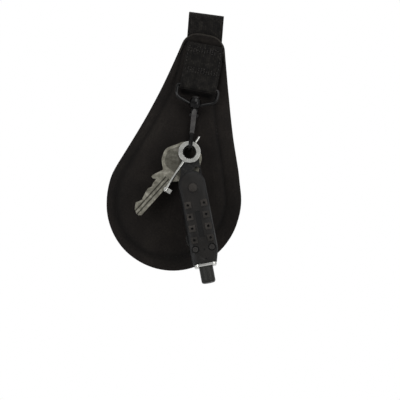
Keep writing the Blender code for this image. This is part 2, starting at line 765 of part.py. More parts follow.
def build_gate(frame):
    """A pressed channel: a pointed face in front, two ears on the rivet and short lips below them."""
    face = -HOOK_BEND_OUT + HOOK_RADIUS + GAP + PIVOT_OUT
    back_of_web = face + GATE_WEB
    corner = GATE_ABOVE / 2
    front = [
        (-GATE_END_HALF_WIDTH, -GATE_BELOW),
        (GATE_END_HALF_WIDTH, -GATE_BELOW),
        (GATE_HALF_WIDTH, -GATE_EAR_BELOW),
        (GATE_HALF_WIDTH, corner),
        (GATE_POINT_HALF, GATE_ABOVE),
        (-GATE_POINT_HALF, GATE_ABOVE),
        (-GATE_HALF_WIDTH, corner),
        (-GATE_HALF_WIDTH, -GATE_EAR_BELOW),
    ]
    depth = GATE_EAR_RADIUS - face
    middle = (0, face + depth / 2, 0)
    gate = plate("gate_lever", frame, [front], depth, middle, FACE_Y, BRIGHT_STEEL)
    lip = back_of_web + GATE_LIP
    side = [(face - OVERRUN, -GATE_BELOW - OVERRUN), (back_of_web, -GATE_BELOW - OVERRUN)]
    side += [(lip, -GATE_BELOW + GATE_LIP), (lip, -GATE_EAR_BELOW)]
    side += arc((0, 0), GATE_EAR_RADIUS, -60, 150, 14)
    side += [(back_of_web, GATE_ABOVE + OVERRUN), (face - OVERRUN, GATE_ABOVE + OVERRUN)]
    combine(gate, plate("gate_side", frame, [side], 4 * GATE_HALF_WIDTH, (0, 0, 0), FACE_X), "INTERSECT")
    inner = GATE_HALF_WIDTH - GATE_SHEET
    reach = GATE_BELOW + OVERRUN
    inner_end = GATE_END_HALF_WIDTH - GATE_SHEET
    channel = [
        (-inner_end, -reach),
        (inner_end, -reach),
        (inner, -GATE_EAR_BELOW),
        (inner, reach),
        (-inner, reach),
        (-inner, -GATE_EAR_BELOW),
    ]
    channel_depth = GATE_EAR_RADIUS + OVERRUN - back_of_web
    channel_middle = (0, back_of_web + channel_depth / 2, 0)
    combine(gate, plate("gate_channel", frame, [channel], channel_depth, channel_middle))
    combine(gate, rod("gate_bore", frame, RIVET_RADIUS + GAP, -reach, reach, 20, FACE_X))


def build_gate_spring(frame):
    """A torsion coil on the rivet, one leg down the gate and one up to the shoulder."""
    count = 14
    turn_count = round(SPRING_TURNS * count)
    points = []
    start_x = SPRING_SHIFT - SPRING_PITCH * SPRING_TURNS / 2
    points.append((start_x, -SPRING_COIL, -SPRING_LONG_LEG))
    for i in range(turn_count + 1):
        angle = math.pi - 2 * math.pi * i / count
        x = start_x + SPRING_PITCH * i / count
        points.append((x, SPRING_COIL * math.cos(angle), SPRING_COIL * math.sin(angle)))
    points.append((points[-1][0], SPRING_COIL, SPRING_SHORT_LEG))
    place = (0, -PIVOT_OUT, -PIVOT_DROP)
    placed = [tuple(Vector(point) + Vector(place)) for point in points]
    wire("gate_spring", frame, placed, SPRING_WIRE, sides=1, material=SPRING_STEEL)


def contact_height(edge):
    """Height above the bend's centreline at which a plate reaching edge from the middle rests, with its gap."""
    if edge <= BEND_FLAT:
        return HOOK_RADIUS + GAP
    inner = BEND_CORNER - HOOK_RADIUS
    return BEND_CORNER - math.sqrt(inner**2 - (edge - BEND_FLAT) ** 2) + GAP


def build_cuff_key(hinge):
    """A flat ring with a long shaft, a bit on a sleeve at its end, and a pin on the far side."""
    edge = abs(CUFF_LAYER) + CUFF_RING_THICK / 2
    drop = CUFF_RING_INNER - contact_height(edge)
    frame = add_frame("cuff_key_lean", hinge, (0, CUFF_LAYER, -drop), (0, CUFF_TURN, 0))
    half = CUFF_RING_THICK / 2
    profile = [
        (CUFF_RING_INNER + CUFF_RING_EDGE, half),
        (CUFF_RING_OUTER - CUFF_RING_EDGE, half),
        (CUFF_RING_OUTER, half - CUFF_RING_EDGE),
        (CUFF_RING_OUTER, CUFF_RING_EDGE - half),
        (CUFF_RING_OUTER - CUFF_RING_EDGE, -half),
        (CUFF_RING_INNER + CUFF_RING_EDGE, -half),
        (CUFF_RING_INNER, CUFF_RING_EDGE - half),
        (CUFF_RING_INNER, half - CUFF_RING_EDGE),
    ]
    ring = turned("cuff_key_ring", frame, profile, 44, FACE_Y, True, BRIGHT_STEEL)
    socket_low = CUFF_RING_OUTER - CUFF_SPIGOT_LENGTH - GAP
    socket = rod("pin_socket", frame, CUFF_SPIGOT_RADIUS + GAP, socket_low, CUFF_RING_OUTER + OVERRUN, 12)
    combine(ring, socket)
    turn_down = Matrix.Rotation(math.pi, 4, "Y")
    socket = rod(
        "shaft_socket", frame, CUFF_SPIGOT_RADIUS + GAP, socket_low, CUFF_RING_OUTER + OVERRUN, 12, turn_down
    )
    combine(ring, socket)
    rim = CUFF_RING_OUTER + GAP
    spigot = rim - CUFF_SPIGOT_LENGTH
    end = CUFF_SHAFT_REACH
    profile = [
        (0, -spigot),
        (CUFF_SPIGOT_RADIUS, -spigot),
        (CUFF_SPIGOT_RADIUS, -rim),
        (CUFF_SHAFT_RADIUS, -rim),
        (CUFF_SHAFT_RADIUS, CUFF_SHAFT_EDGE - end),
        (CUFF_SHAFT_RADIUS - CUFF_SHAFT_EDGE, -end),
        (CUFF_PILOT_RADIUS, -end),
        (CUFF_PILOT_RADIUS, CUFF_PILOT_DEPTH - end),
        (0, CUFF_PILOT_DEPTH - end),
    ]
    turned("cuff_key_shaft", frame, profile, 16, None, False, BRIGHT_STEEL)
    profile = [
        (0, CUFF_PIN_REACH),
        (CUFF_PIN_RADIUS - CUFF_SHAFT_EDGE, CUFF_PIN_REACH),
        (CUFF_PIN_RADIUS, CUFF_PIN_REACH - CUFF_SHAFT_EDGE),
        (CUFF_PIN_RADIUS, rim),
        (CUFF_SPIGOT_RADIUS, rim),
        (CUFF_SPIGOT_RADIUS, spigot),
        (0, spigot),
    ]
    turned("cuff_key_pin", frame, profile, 16, None, False, BRIGHT_STEEL)
    bore = CUFF_SHAFT_RADIUS + GAP
    sleeve = bore + CUFF_SLEEVE_WALL
    low = CUFF_BIT_END - end
    middle = low + CUFF_BIT_HEIGHT / 2
    sleeve_half = CUFF_SLEEVE_HEIGHT / 2
    flag = box(
        "cuff_key_bit",
        frame,
        (0, -CUFF_BIT_THICK / 2, low),
        (CUFF_BIT_REACH, CUFF_BIT_THICK / 2, low + CUFF_BIT_HEIGHT),
        BRIGHT_STEEL,
    )
    combine(flag, rod("bit_sleeve", frame, sleeve, middle - sleeve_half, middle + sleeve_half, 20), "UNION")
    combine(flag, rod("bit_bore", frame, bore, low - OVERRUN, low + CUFF_BIT_HEIGHT + OVERRUN, 20))


def bow_half(inset=0.0):
    """The bow's right half as (out, up from its root), drawn in by inset."""
    half = KEY_BOW_HALF - inset
    height = KEY_BOW_HEIGHT - 2 * inset
    points = [(half * out, inset + height * up) for up, out in KEY_BOW_SHARES]
    return through(points, 3)


def build_door_key(hinge):
    """A cylinder key: cut and grooved blade, a stop at its shoulder, and a bow with a sunk face."""
    drop = KEY_HOLE_RADIUS - contact_height(KEY_LAYER + KEY_THICK / 2)
    frame = add_frame("door_key_lean", hinge, (0, KEY_LAYER, -drop), (0, KEY_TURN, 0))
    root = KEY_HOLE_BELOW_TOP - KEY_BOW_HEIGHT
    tip = root - KEY_BLADE_LENGTH
    right = [(out, root + up) for out, up in bow_half()]
    left = [(-out, z) for out, z in reversed(right) if out > WELD]
    cuts = [(KEY_BLADE_HALF * out, tip + KEY_BLADE_LENGTH * up) for up, out in KEY_CUT_SHARES]
    back = [(KEY_BLADE_HALF * out, tip + KEY_BLADE_LENGTH * up) for up, out in reversed(KEY_BACK_SHARES)]
    outline = back + right + left + list(reversed(cuts))
    hole = circle((0, 0), KEY_HOLE_RADIUS, 28)
    key = plate("door_key", frame, [outline, hole], KEY_THICK, (0, 0, 0), FACE_Y, NICKEL)
    start = root + KEY_RECESS_START
    sunk = [(out, root + up) for out, up in bow_half(KEY_RIM) if root + up > start]
    sunk += [(-out, z) for out, z in reversed(sunk) if out > WELD]
    face = KEY_THICK / 2
    depth = KEY_RECESS_DEPTH + OVERRUN
    rim = KEY_HOLE_RADIUS + KEY_HOLE_RIM
    island = rod("hole_rim", frame, rim, -face - 2 * OVERRUN, face + 2 * OVERRUN, 28, FACE_Y)
    for side, name in ((-1, "front_recess"), (1, "rear_recess")):
        middle = (0, side * (face - KEY_RECESS_DEPTH + depth / 2), 0)
        recess = plate(name, frame, [sunk], depth, middle)
        combine(recess, island)
        combine(key, recess)
    groove_top = root - KEY_BLADE_HALF / 2
    for side, name in ((-1, "left_groove"), (1, "right_groove")):
        out = side * KEY_GROOVE_STEP / 2
        low = (out - KEY_GROOVE_WIDTH / 2, -face - OVERRUN, tip - OVERRUN)
        high = (out + KEY_GROOVE_WIDTH / 2, -face + KEY_GROOVE_DEPTH, groove_top)
        combine(key, box(name, frame, low, high))
    low = (-KEY_REAR_GROOVE_WIDTH / 2, face - KEY_GROOVE_DEPTH, tip - OVERRUN)
    high = (KEY_REAR_GROOVE_WIDTH / 2, face + OVERRUN, groove_top)
    combine(key, box("rear_groove", frame, low, high))


def bail_outline(grow=0.0):
    """The bail from its tang round the rivet up to the eye for the hook, grown by a clearance."""
    eye = (0, BAIL_REACH)
    half = arc((0, 0), BAIL_TANG_RADIUS + grow, -90, 0, 6)
    half += [(BAIL_TANG_RADIUS + grow, BAIL_TANG_HEIGHT - grow)]
    half += [(BAIL_SHOULDER_HALF + grow, BAIL_SHOULDER_HEIGHT - grow)]
    half += [(BAIL_SIDE_TOP_HALF + grow, BAIL_REACH - BAIL_SIDE_TOP_DROP)]
    half += arc(eye, BAIL_TOP_RADIUS + grow, 5, 90, 8)
    return mirrored(half)


def build_bail(frame):
    """frame's origin is the rivet, and its Z runs up to the eye."""
    eye = circle((0, BAIL_REACH), BAIL_HOLE_RADIUS, 28)
    rivet = circle((0, 0), HEAD_RIVET_RADIUS + GAP, 20)
    small = circle((BAIL_EYE_OUT, BAIL_EYE_HEIGHT), BAIL_EYE_RADIUS, 16)
    outlines = [bail_outline(), eye, rivet, small]
    plate("tool_bail", frame, outlines, BAIL_THICK, (0, 0, 0), FACE_Y, BLACK_METAL)


def tool_outline(inset=0.0):
    """The grip seen from the front, as (x, z) from the rivet: round head, long sides, tapered tail."""
    side = TOOL_HALF_WIDTH - inset
    tail = TOOL_TAIL_HALF - inset
    points = [(TOOL_TAIL_SHIFT + tail, -TOOL_LENGTH), (side, -TOOL_TAPER_DROP), (side, -TOOL_WIDEN_DROP)]
    points += arc((0, TOOL_HEAD_ABOVE), TOOL_HEAD_RADIUS - inset, 0, 180, 18)
    points += [(-side, -TOOL_WIDEN_DROP), (-side, -TOOL_TAPER_DROP), (TOOL_TAIL_SHIFT - tail, -TOOL_LENGTH)]
    return points


def tool_ring(inset, y):
    return [(x, y, z) for x, z in tool_outline(inset)]


def screw_places():
    return [(SCREW_SHIFT + side * SCREW_OUT, -SCREW_DROP) for side in (-1, 1)]


def facing(x, z, y=0.0):
    """Placement of a turned piece whose own +Z points out of the tool's front."""
    return Matrix.Translation((x, y, z)) @ FACE_Y


def build_front_shell(frame, bail_frame):
    """Deep moulded case: rounded front edge, hollow grip, raised pads, and the nose's chamber."""
    rings = [
        tool_ring(0, SHELL_BACK),
        tool_ring(0, TOOL_FRONT + SHELL_EDGE),
        tool_ring(SHELL_EDGE * 0.30, TOOL_FRONT + SHELL_EDGE * 0.30),
        tool_ring(SHELL_EDGE, TOOL_FRONT),
    ]
    shell = loft("tool_front_shell", frame, rings, BLACK_PLASTIC)
    pads = bmesh.new()
    pits = []
    half = GRIP_PAD_SIZE / 2
    for row in range(GRIP_PAD_ROWS):
        z = -(GRIP_PAD_FIRST + row * GRIP_PAD_STEP)
        for side in (-1, 1):
            x = side * GRIP_PAD_OUT
            made = bmesh.ops.create_cube(pads, size=1)["verts"]
            bmesh.ops.scale(pads, vec=(2 * half, SHELL_EDGE, 2 * half), verts=made)
            y = TOOL_FRONT - GRIP_PAD_RISE + SHELL_EDGE / 2
            bmesh.ops.translate(pads, vec=(x, y, z), verts=made)
            pits.append((x, z))
    mesh = bpy.data.meshes.new("grip_pads")
    pads.to_mesh(mesh)
    pads.free()
    combine(shell, add_object("grip_pads", mesh, frame), "UNION")
    pad_face = -(TOOL_FRONT - GRIP_PAD_RISE)
    for index, (x, z) in enumerate(pits):
        low = pad_face - GRIP_PIT_DEPTH
        pit = rod(f"grip_pit_{index}", frame, GRIP_PIT_RADIUS, low, pad_face + OVERRUN, 10, facing(x, z))
        combine(shell, pit)
    side = TOOL_HALF_WIDTH - GRIP_WALL
    low = (-side, TOOL_FRONT + GRIP_WALL, -GRIP_HOLLOW_LOW)
    combine(shell, box("grip_hollow", frame, low, (side, SHELL_BACK + OVERRUN, -GRIP_HOLLOW_TOP)))
    low = (-GRIP_PANEL_HALF, TOOL_FRONT - OVERRUN, -GRIP_PANEL_LOW)
    high = (GRIP_PANEL_HALF, TOOL_FRONT + GRIP_PANEL_DEPTH, -GRIP_PANEL_TOP)
    combine(shell, box("grip_panel", frame, low, high))
    for index in range(2):
        z = -(TAIL_PIT_DROP + index * TAIL_PIT_STEP)
        low = -TOOL_FRONT - TAIL_PIT_DEPTH
        pit = rod(f"tail_pit_{index}", frame, TAIL_PIT_RADIUS, low, OVERRUN - TOOL_FRONT, 12, facing(0, z))
        combine(shell, pit)
    slot_low = BAIL_LAYER - BAIL_THICK / 2 - GAP
    slot_depth = SHELL_BACK + OVERRUN - slot_low
    slot_middle = (0, slot_low + slot_depth / 2 - BAIL_LAYER, 0)
    combine(shell, plate("bail_slot", bail_frame, [bail_outline(GAP)], slot_depth, slot_middle))
    far = OVERRUN - TOOL_FRONT
    combine(shell, rod("head_bore", frame, HEAD_RIVET_RADIUS + GAP, -far, far, 20, facing(0, 0)))
    for index, (x, z) in enumerate(screw_places()):
        bore = rod(f"screw_bore_{index}", frame, SCREW_RADIUS + GAP, -far, far, 16, facing(x, z))
        combine(shell, bore)
        floor = -TOOL_FRONT - SCREW_HEAD_THICK - GAP
        seat = rod(f"screw_seat_{index}", frame, SCREW_HEAD_RADIUS + GAP, floor, far, 20, facing(x, z))
        combine(shell, seat)
    cut_nose_chamber(shell, frame)
    cut_clip_slots(shell, frame)


def cut_nose_chamber(shell, frame):
    """Bore for the nose, a cross pocket for its bar and a bore for its spring, open at the tail."""
    middle = Matrix.Translation((TOOL_TAIL_SHIFT, CAP_DEPTH, 0))
    bar_top = CAP_TOP - CAP_BAR_THICK
    bore_top = CAP_TOP - CAP_BAR_THICK / 2 - CAP_TRAVEL - GAP
    open_end = -TOOL_LENGTH - OVERRUN
    combine(shell, rod("nose_bore", frame, CAP_RADIUS + GAP, open_end, -bore_top, 28, middle))
    pocket_top = bar_top - CAP_TRAVEL - GAP
    x = CAP_BAR_HALF + GAP
    y = CAP_BAR_DEEP / 2 + GAP
    low = (TOOL_TAIL_SHIFT - x, CAP_DEPTH - y, open_end)
    high = (TOOL_TAIL_SHIFT + x, CAP_DEPTH + y, -pocket_top)
    combine(shell, box("bar_pocket", frame, low, high))
    spring_top = bar_top - GAP - NOSE_SPRING_LENGTH - GAP
    combine(shell, rod("spring_bore", frame, NOSE_SPRING_BORE, open_end, -spring_top, 20, middle))


def clip_legs():
    """Heights of the clip's two legs, from their top faces to their low faces."""
    top = -CLIP_TOP_DROP
    low = top - CLIP_LENGTH
    return [(top, top - CLIP_SHEET), (low + CLIP_SHEET, low)]


def cut_clip_slots(shell, frame):
    wall = -TOOL_HALF_WIDTH
    for index, (high_z, low_z) in enumerate(clip_legs()):
        half = CLIP_WIDTH / 2 + GAP
        low = (wall - OVERRUN, CAP_DEPTH - half, low_z - GAP)
        high = (wall + CLIP_LEG + GAP, CAP_DEPTH + half, high_z + GAP)
        combine(shell, box(f"clip_slot_{index}", frame, low, high))


def build_side_clip(frame):
    """A staple of spring sheet with its two legs in the grip's side wall."""
    inner = -TOOL_HALF_WIDTH - GAP
    outer = inner - CLIP_SHEET
    leg = -TOOL_HALF_WIDTH + CLIP_LEG
    (top, top_under), (low_over, low) = clip_legs()
    outline = [
        (outer, low + CLIP_SHEET / 2),
        (outer + CLIP_SHEET / 2, low),
        (leg, low),
        (leg, low_over),
        (inner, low_over),
        (inner, top_under),
        (leg, top_under),
        (leg, top),
        (outer + CLIP_SHEET / 2, top),
        (outer, top - CLIP_SHEET / 2),
    ]
    plate("side_clip", frame, [outline], CLIP_WIDTH, (0, CAP_DEPTH, 0), FACE_Y, BLACK_METAL)


def build_rear_shell(frame):
    """Flat cover that closes the case, with a sunk seat for the rivet's rear head."""
    front = SHELL_BACK + GAP
    back = front + COVER_THICK
    rings = [tool_ring(0, front), tool_ring(0, back - COVER_EDGE), tool_ring(COVER_EDGE, back)]
    cover = loft("tool_rear_shell", frame, rings, BLACK_PLASTIC)
    far = OVERRUN - TOOL_FRONT
    combine(cover, rod("cover_bore", frame, HEAD_RIVET_RADIUS + GAP, -far, far, 20, facing(0, 0)))
    seat = rear_head_front(frame) - GAP
    combine(cover, rod("cover_seat", frame, HEAD_RIVET_REAR + GAP, -far, -seat, 20, facing(0, 0)))
    for index, (x, z) in enumerate(screw_places()):
        bore = rod(f"cover_screw_bore_{index}", frame, SCREW_RADIUS + GAP, -far, far, 16, facing(x, z))
        combine(cover, bore)


def rear_head_front(frame):
    """Where the rivet's rear head starts, so that it ends flush inside the cover."""
    cover_back = SHELL_BACK + GAP + COVER_THICK
    return cover_back - HEAD_RIVET_REAR_THICK - GAP / 3


def build_head_rivet(frame):
    """Button in front of the head, through case, bail and cover to a small sunk head behind."""
    under = GAP - TOOL_FRONT
    top = under + HEAD_RIVET_RISE
    rear = -rear_head_front(frame)
    end = rear - HEAD_RIVET_REAR_THICK
    profile = [
        (0, top),
        (HEAD_RIVET_HEAD * 0.55, top - HEAD_RIVET_RISE * 0.10),
        (HEAD_RIVET_HEAD * 0.88, top - HEAD_RIVET_RISE * 0.38),
        (HEAD_RIVET_HEAD, under + HEAD_RIVET_RISE * 0.25),
        (HEAD_RIVET_HEAD, under),
        (HEAD_RIVET_RADIUS, under),
        (HEAD_RIVET_RADIUS, rear),
        (HEAD_RIVET_REAR, rear),
        (HEAD_RIVET_REAR, end),
        (0, end),
    ]
    turned("head_rivet", frame, profile, 28, facing(0, 0), False, BLACK_PLASTIC)


def build_screws(frame):
    """Two socket screws that clamp the cover to the case."""
    head_top = -TOOL_FRONT - GAP / 3
    under = head_top - SCREW_HEAD_THICK
    end = -(SHELL_BACK + GAP + COVER_THICK - GAP)
    profile = [
        (0, head_top),
        (SCREW_HEAD_RADIUS, head_top),
        (SCREW_HEAD_RADIUS, under),
        (SCREW_RADIUS, under),
        (SCREW_RADIUS, end),
        (0, end),
    ]
    for name, (x, z) in zip(("shell_screw_left", "shell_screw_right"), screw_places()):
        screw = turned(name, frame, profile, 24, facing(x, z), False, BLACK_METAL)
        floor = head_top - SCREW_SOCKET_DEPTH
        socket = rod(name + "_socket", frame, SCREW_SOCKET_RADIUS, floor, head_top + OVERRUN, 6, facing(x, z))
        combine(screw, socket)


def rounded_box_outline(centre, wide, deep, corner):
    """A rounded rectangle as (x, y) points."""
    x = wide / 2 - corner
    y = deep / 2 - corner
    points = []
    for side_x, side_y, start in ((1, 1, 0), (-1, 1, 90), (-1, -1, 180), (1, -1, 270)):
        middle = (centre[0] + side_x * x, centre[1] + side_y * y)
        points += arc(middle, corner, start, start + 90, 5)
    return points


def build_end_plate(frame):
    """Bright plate under the tail, eased at its lower edge, with a bore for the nose."""
    centre = (TOOL_TAIL_SHIFT, CAP_DEPTH)

    def ring(inset, z):
        corner = END_PLATE_CORNER - inset
        wide = END_PLATE_WIDTH - 2 * inset
        deep = END_PLATE_DEPTH - 2 * inset
        return [(x, y, z) for x, y in rounded_box_outline(centre, wide, deep, corner)]

    top = -END_PLATE_TOP
    low = top - END_PLATE_THICK
    eased = END_PLATE_EDGE / 2
    rings = [ring(0, top), ring(0, low + END_PLATE_EDGE), ring(eased, low)]
    end_plate = loft("end_plate", frame, rings, BRIGHT_STEEL)
    middle = Matrix.Translation((*centre, 0))
    bore = rod("plate_bore", frame, CAP_RADIUS + GAP, low - OVERRUN, top + OVERRUN, 28, middle)
    combine(end_plate, bore)


def build_end_cap(frame):
    """Round nose with a cross bar that keeps it in, and a stub for its spring. z = 0 is the bar's low face."""
    length = END_PLATE_TOP + END_PLATE_THICK + CAP_SHOWING - CAP_TOP
    fillet = CAP_END_FILLET
    centre = (CAP_RADIUS - fillet, fillet - length)
    bar = CAP_BAR_THICK
    profile = [(0, bar / 2), (CAP_RADIUS, bar / 2)]
    profile += arc(centre, fillet, 0, -90, 5)
    profile += [(0, -length)]
    cap = turned("end_cap", frame, profile, 32, None, False, BLACK_PLASTIC)
    half = CAP_BAR_DEEP / 2
    cross = box("cap_bar", frame, (-CAP_BAR_HALF, -half, 0), (CAP_BAR_HALF, half, bar))
    combine(cap, cross, "UNION")
    combine(cap, rod("cap_stub", frame, CAP_STUB_RADIUS, bar / 4, bar + CAP_STUB_HEIGHT, 16), "UNION")


def build_nose_spring(frame):
    """Coil from the chamber's end down to the nose's cross bar."""
    count = 12
    turn_count = NOSE_SPRING_TURNS * count
    low = -(CAP_TOP - CAP_BAR_THICK) + GAP + NOSE_SPRING_WIRE
    rise = NOSE_SPRING_LENGTH - 2 * NOSE_SPRING_WIRE
    points = []
    for i in range(turn_count + 1):
        angle = 2 * math.pi * i / count
        x = TOOL_TAIL_SHIFT + NOSE_SPRING_COIL * math.cos(angle)
        y = CAP_DEPTH + NOSE_SPRING_COIL * math.sin(angle)
        points.append((x, y, low + rise * i / turn_count))
    wire("nose_spring", frame, points, NOSE_SPRING_WIRE, sides=1, material=SPRING_STEEL)


def build_tool(hinge):
    drop = BAIL_HOLE_RADIUS - contact_height(abs(BAIL_LAYER) + BAIL_THICK / 2)
    eye = add_frame("bail_eye", hinge, (0, 0, -drop), (0, -BAIL_LEAN, 0))
    bail_frame = add_frame("bail_lean", eye, (0, BAIL_LAYER, -BAIL_REACH))
    tool = add_frame("tool_lean", eye, (0, 0, -BAIL_REACH), (0, BAIL_LEAN - TOOL_TURN, 0))
    build_bail(bail_frame)
    build_front_shell(tool, bail_frame)
    build_rear_shell(tool)
    build_head_rivet(tool)
    build_screws(tool)
    build_side_clip(tool)
    build_end_plate(tool)
    build_nose_spring(tool)
    cap = add_frame("end_cap_body", tool, (TOOL_TAIL_SHIFT, CAP_DEPTH, -CAP_TOP))
    build_end_cap(cap)


def build_key_holder():
    pad = add_frame("pad_body")
    build_pad(pad)
    build_belt_loop(pad)
    build_hook_strap(pad)
    bar = (BAR_SHIFT, BAR_OUT, -BAR_BELOW_SLOT)
    swivel_loop = add_frame("swivel_loop_body", pad, bar, (-CHAIN_LEAN, 0, 0))
    build_swivel_loop(swivel_loop)
    hook = add_frame("hook_body_frame", swivel_loop, (0, 0, -BOSS_BELOW_BAR), (0, -HOOK_LEAN, 0))
    build_stud(hook)
    build_hook(hook)
    build_gate_pin(hook)
    build_gate_spring(hook)
    gate = add_frame("gate_body", hook, (0, -PIVOT_OUT, -PIVOT_DROP))
    build_gate(gate)
    bend = (0, 0, -BEND_DROP)
    upright = (0, HOOK_LEAN, 0)
    build_cuff_key(add_frame("cuff_key_body", hook, bend, upright))
    build_door_key(add_frame("door_key_body", hook, bend, upright))
    build_tool(add_frame("tool_body", hook, bend, upright))


build_key_holder()
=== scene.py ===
"""Looks of a duty-belt key holder: sewn nylon pad, webbing, black swivel hook, keys and tool."""

import math

import bmesh
import bpy
from mathutils import Matrix, Vector, kdtree, noise


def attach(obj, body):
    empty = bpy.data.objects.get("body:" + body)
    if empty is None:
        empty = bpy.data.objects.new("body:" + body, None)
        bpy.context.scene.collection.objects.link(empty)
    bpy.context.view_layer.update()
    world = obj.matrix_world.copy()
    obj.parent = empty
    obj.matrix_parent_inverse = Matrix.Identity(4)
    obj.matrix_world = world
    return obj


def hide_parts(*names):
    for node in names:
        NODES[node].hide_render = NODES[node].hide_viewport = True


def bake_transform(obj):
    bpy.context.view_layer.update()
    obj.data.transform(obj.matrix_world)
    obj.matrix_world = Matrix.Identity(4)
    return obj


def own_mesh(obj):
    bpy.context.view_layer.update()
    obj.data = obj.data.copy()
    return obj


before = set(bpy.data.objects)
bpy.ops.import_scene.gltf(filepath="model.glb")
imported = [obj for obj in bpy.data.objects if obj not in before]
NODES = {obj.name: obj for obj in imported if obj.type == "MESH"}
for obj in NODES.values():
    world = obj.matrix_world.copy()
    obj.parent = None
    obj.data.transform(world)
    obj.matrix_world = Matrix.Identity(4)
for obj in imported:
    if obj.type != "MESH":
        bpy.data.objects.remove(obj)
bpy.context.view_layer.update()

MM = 0.001
FRONT = Vector((0, -1, 0))
BACK = Vector((0, 1, 0))

# Depths, with the front at minus y
PAD_FRONT = -0.0093
BACK_PANEL_FRONT = -0.0055
LINING_OUT = -0.0047
MARGIN_OUT = -0.0071
# The pad's face under the hook strap, which presses it down
STRAP_SEAT = -0.0085

PAD_CENTRE_Z = -0.112
STRAP_X = 0.0022
STRAP_HALF = 0.0132
BELT_X = 0.0012
BELT_WIDTH = 0.0252
WEB_THICK = 0.0014
# The D-loop's bar, in the fold of the strap
BAR_Y, BAR_Z = -0.0125, -0.027
# How far a stitch stands off the webbing that it is sewn through
STITCH_LIFT = 0.00002


def turn(degrees, axis):
    return Matrix.Rotation(math.radians(degrees), 4, axis)


def shift(x, y, z):
    return Matrix.Translation((x, y, z))


# Where the leaning and hanging pieces are, so that each one's own front is known
BELT_LEAN = turn(-6, "Y")
LOOP = shift(STRAP_X, BAR_Y, BAR_Z) @ turn(-8, "X")
HOOK = LOOP @ shift(0, 0, -0.012) @ turn(-4, "Y")
BEND = HOOK @ shift(0, 0, -0.0335) @ turn(4, "Y")
DOOR_KEY = BEND @ shift(0, 0.0025, -0.002808) @ turn(31.25, "Y")
BAIL = BEND @ shift(0, 0, -0.0024) @ turn(-15.07, "Y") @ shift(0, -0.0018, -0.0270)
TOOL = BAIL @ shift(0, 0.0018, 0) @ turn(15.07 - 20.9, "Y")


def clamp(value):
    return min(max(value, 0), 1)


def bell(distance, width):
    """1 at no distance, falling off smoothly over this width."""
    return math.exp(-((distance / width) ** 2))


# Materials

def linear(hex_colour):
    """Linear RGBA from an sRGB hex value."""
    channels = [int(hex_colour[i : i + 2], 16) / 255 for i in (1, 3, 5)]
    return (*[c / 12.92 if c <= 0.04045 else ((c + 0.055) / 1.055) ** 2.4 for c in channels], 1)


def add(tree, kind, inputs=None, links=None, stops=(), **settings):
    """A node with its settings, its sockets' values and what feeds them.

    The stops of a colour ramp are (place, hex).
    """
    node = tree.nodes.new(kind)
    for name, value in settings.items():
        setattr(node, name, value)
    for name, value in (inputs or {}).items():
        node.inputs[name].default_value = value
    for name, source in (links or {}).items():
        tree.links.new(source, node.inputs[name])
    if stops:
        elements = node.color_ramp.elements
        while len(elements) < len(stops):
            elements.new(0.5)
        for element, (place, colour) in zip(elements, stops):
            element.position = place
            element.color = linear(colour)
    return node


def start_material(name, **values):
    """A material with its Principled shader's constants set on the shader's own sockets."""
    material = bpy.data.materials.new(name)
    material.use_nodes = True
    tree = material.node_tree
    shader = tree.nodes["Principled BSDF"]
    for socket, value in values.items():
        shader.inputs[socket.replace("_", " ")].default_value = value
    return material, tree, shader


def brushed_nylon(name, stops):
    """Laminated pack cloth, heat-pressed over foam: matt, faintly napped, with a fine plain weave.

    Its tone wanders in 18 mm patches, with a nap of 1.1 mm. The real weave is 0.4 mm; it is drawn
    at 0.9 mm so that it shows. The attribute crease_shade is painted shade: it darkens the cloth
    along the seam and in the hollow under the strap's fold, where shadow falls.
    """
    weave = 0.9 * MM
    material, tree, shader = start_material(
        name,
        Roughness=0.85,
        Sheen_Weight=0.03,
        Sheen_Roughness=0.5,
        Specular_IOR_Level=0.12,
    )
    place = add(tree, "ShaderNodeTexCoord").outputs["Object"]
    cloud = add(
        tree,
        "ShaderNodeTexNoise",
        {"Scale": 55, "Detail": 5, "Roughness": 0.6},
        {"Vector": place},
    )
    nap = add(
        tree,
        "ShaderNodeTexNoise",
        {"Scale": 900, "Detail": 3, "Roughness": 0.7},
        {"Vector": place},
    )
    both = add(
        tree,
        "ShaderNodeMath",
        links={0: cloud.outputs["Fac"], 1: nap.outputs["Fac"]},
        operation="ADD",
    )
    half = add(tree, "ShaderNodeMath", {1: 0.5}, {0: both.outputs[0]}, operation="MULTIPLY")
    shade = add(tree, "ShaderNodeValToRGB", links={"Fac": half.outputs[0]}, stops=stops)
    # Painted shade: crease_shade darkens the colour along the seam and under the strap's fold
    crease_shade = add(tree, "ShaderNodeAttribute", attribute_name="crease_shade")
    painted_shade = add(
        tree,
        "ShaderNodeValToRGB",
        links={"Fac": crease_shade.outputs["Fac"]},
        stops=[(0.0, "#ffffff"), (1.0, "#404040")],
    )
    colour = add(
        tree,
        "ShaderNodeMix",
        {"Factor": 1.0},
        {6: shade.outputs["Color"], 7: painted_shade.outputs["Color"]},
        data_type="RGBA",
        blend_type="MULTIPLY",
    )
    tree.links.new(colour.outputs[2], shader.inputs["Base Color"])
    across, along = (
        add(
            tree,
            "ShaderNodeTexWave",
            {"Scale": 2 * math.pi / (20 * weave), "Distortion": 0.6, "Detail": 1},
            {"Vector": place},
            bands_direction=way,
        )
        for way in ("X", "Z")
    )
    crossed = add(
        tree,
        "ShaderNodeMath",
        links={0: across.outputs["Fac"], 1: along.outputs["Fac"]},
        operation="MULTIPLY",
    )
    height = add(
        tree,
        "ShaderNodeMath",
        {1: 0.6},
        {0: nap.outputs["Fac"], 2: crossed.outputs[0]},
        operation="MULTIPLY_ADD",
    )
    bump = add(
        tree,
        "ShaderNodeBump",
        {"Strength": 0.45, "Distance": 0.12 * MM},
        {"Height": height.outputs[0]},
    )
    tree.links.new(bump.outputs["Normal"], shader.inputs["Normal"])
    return material


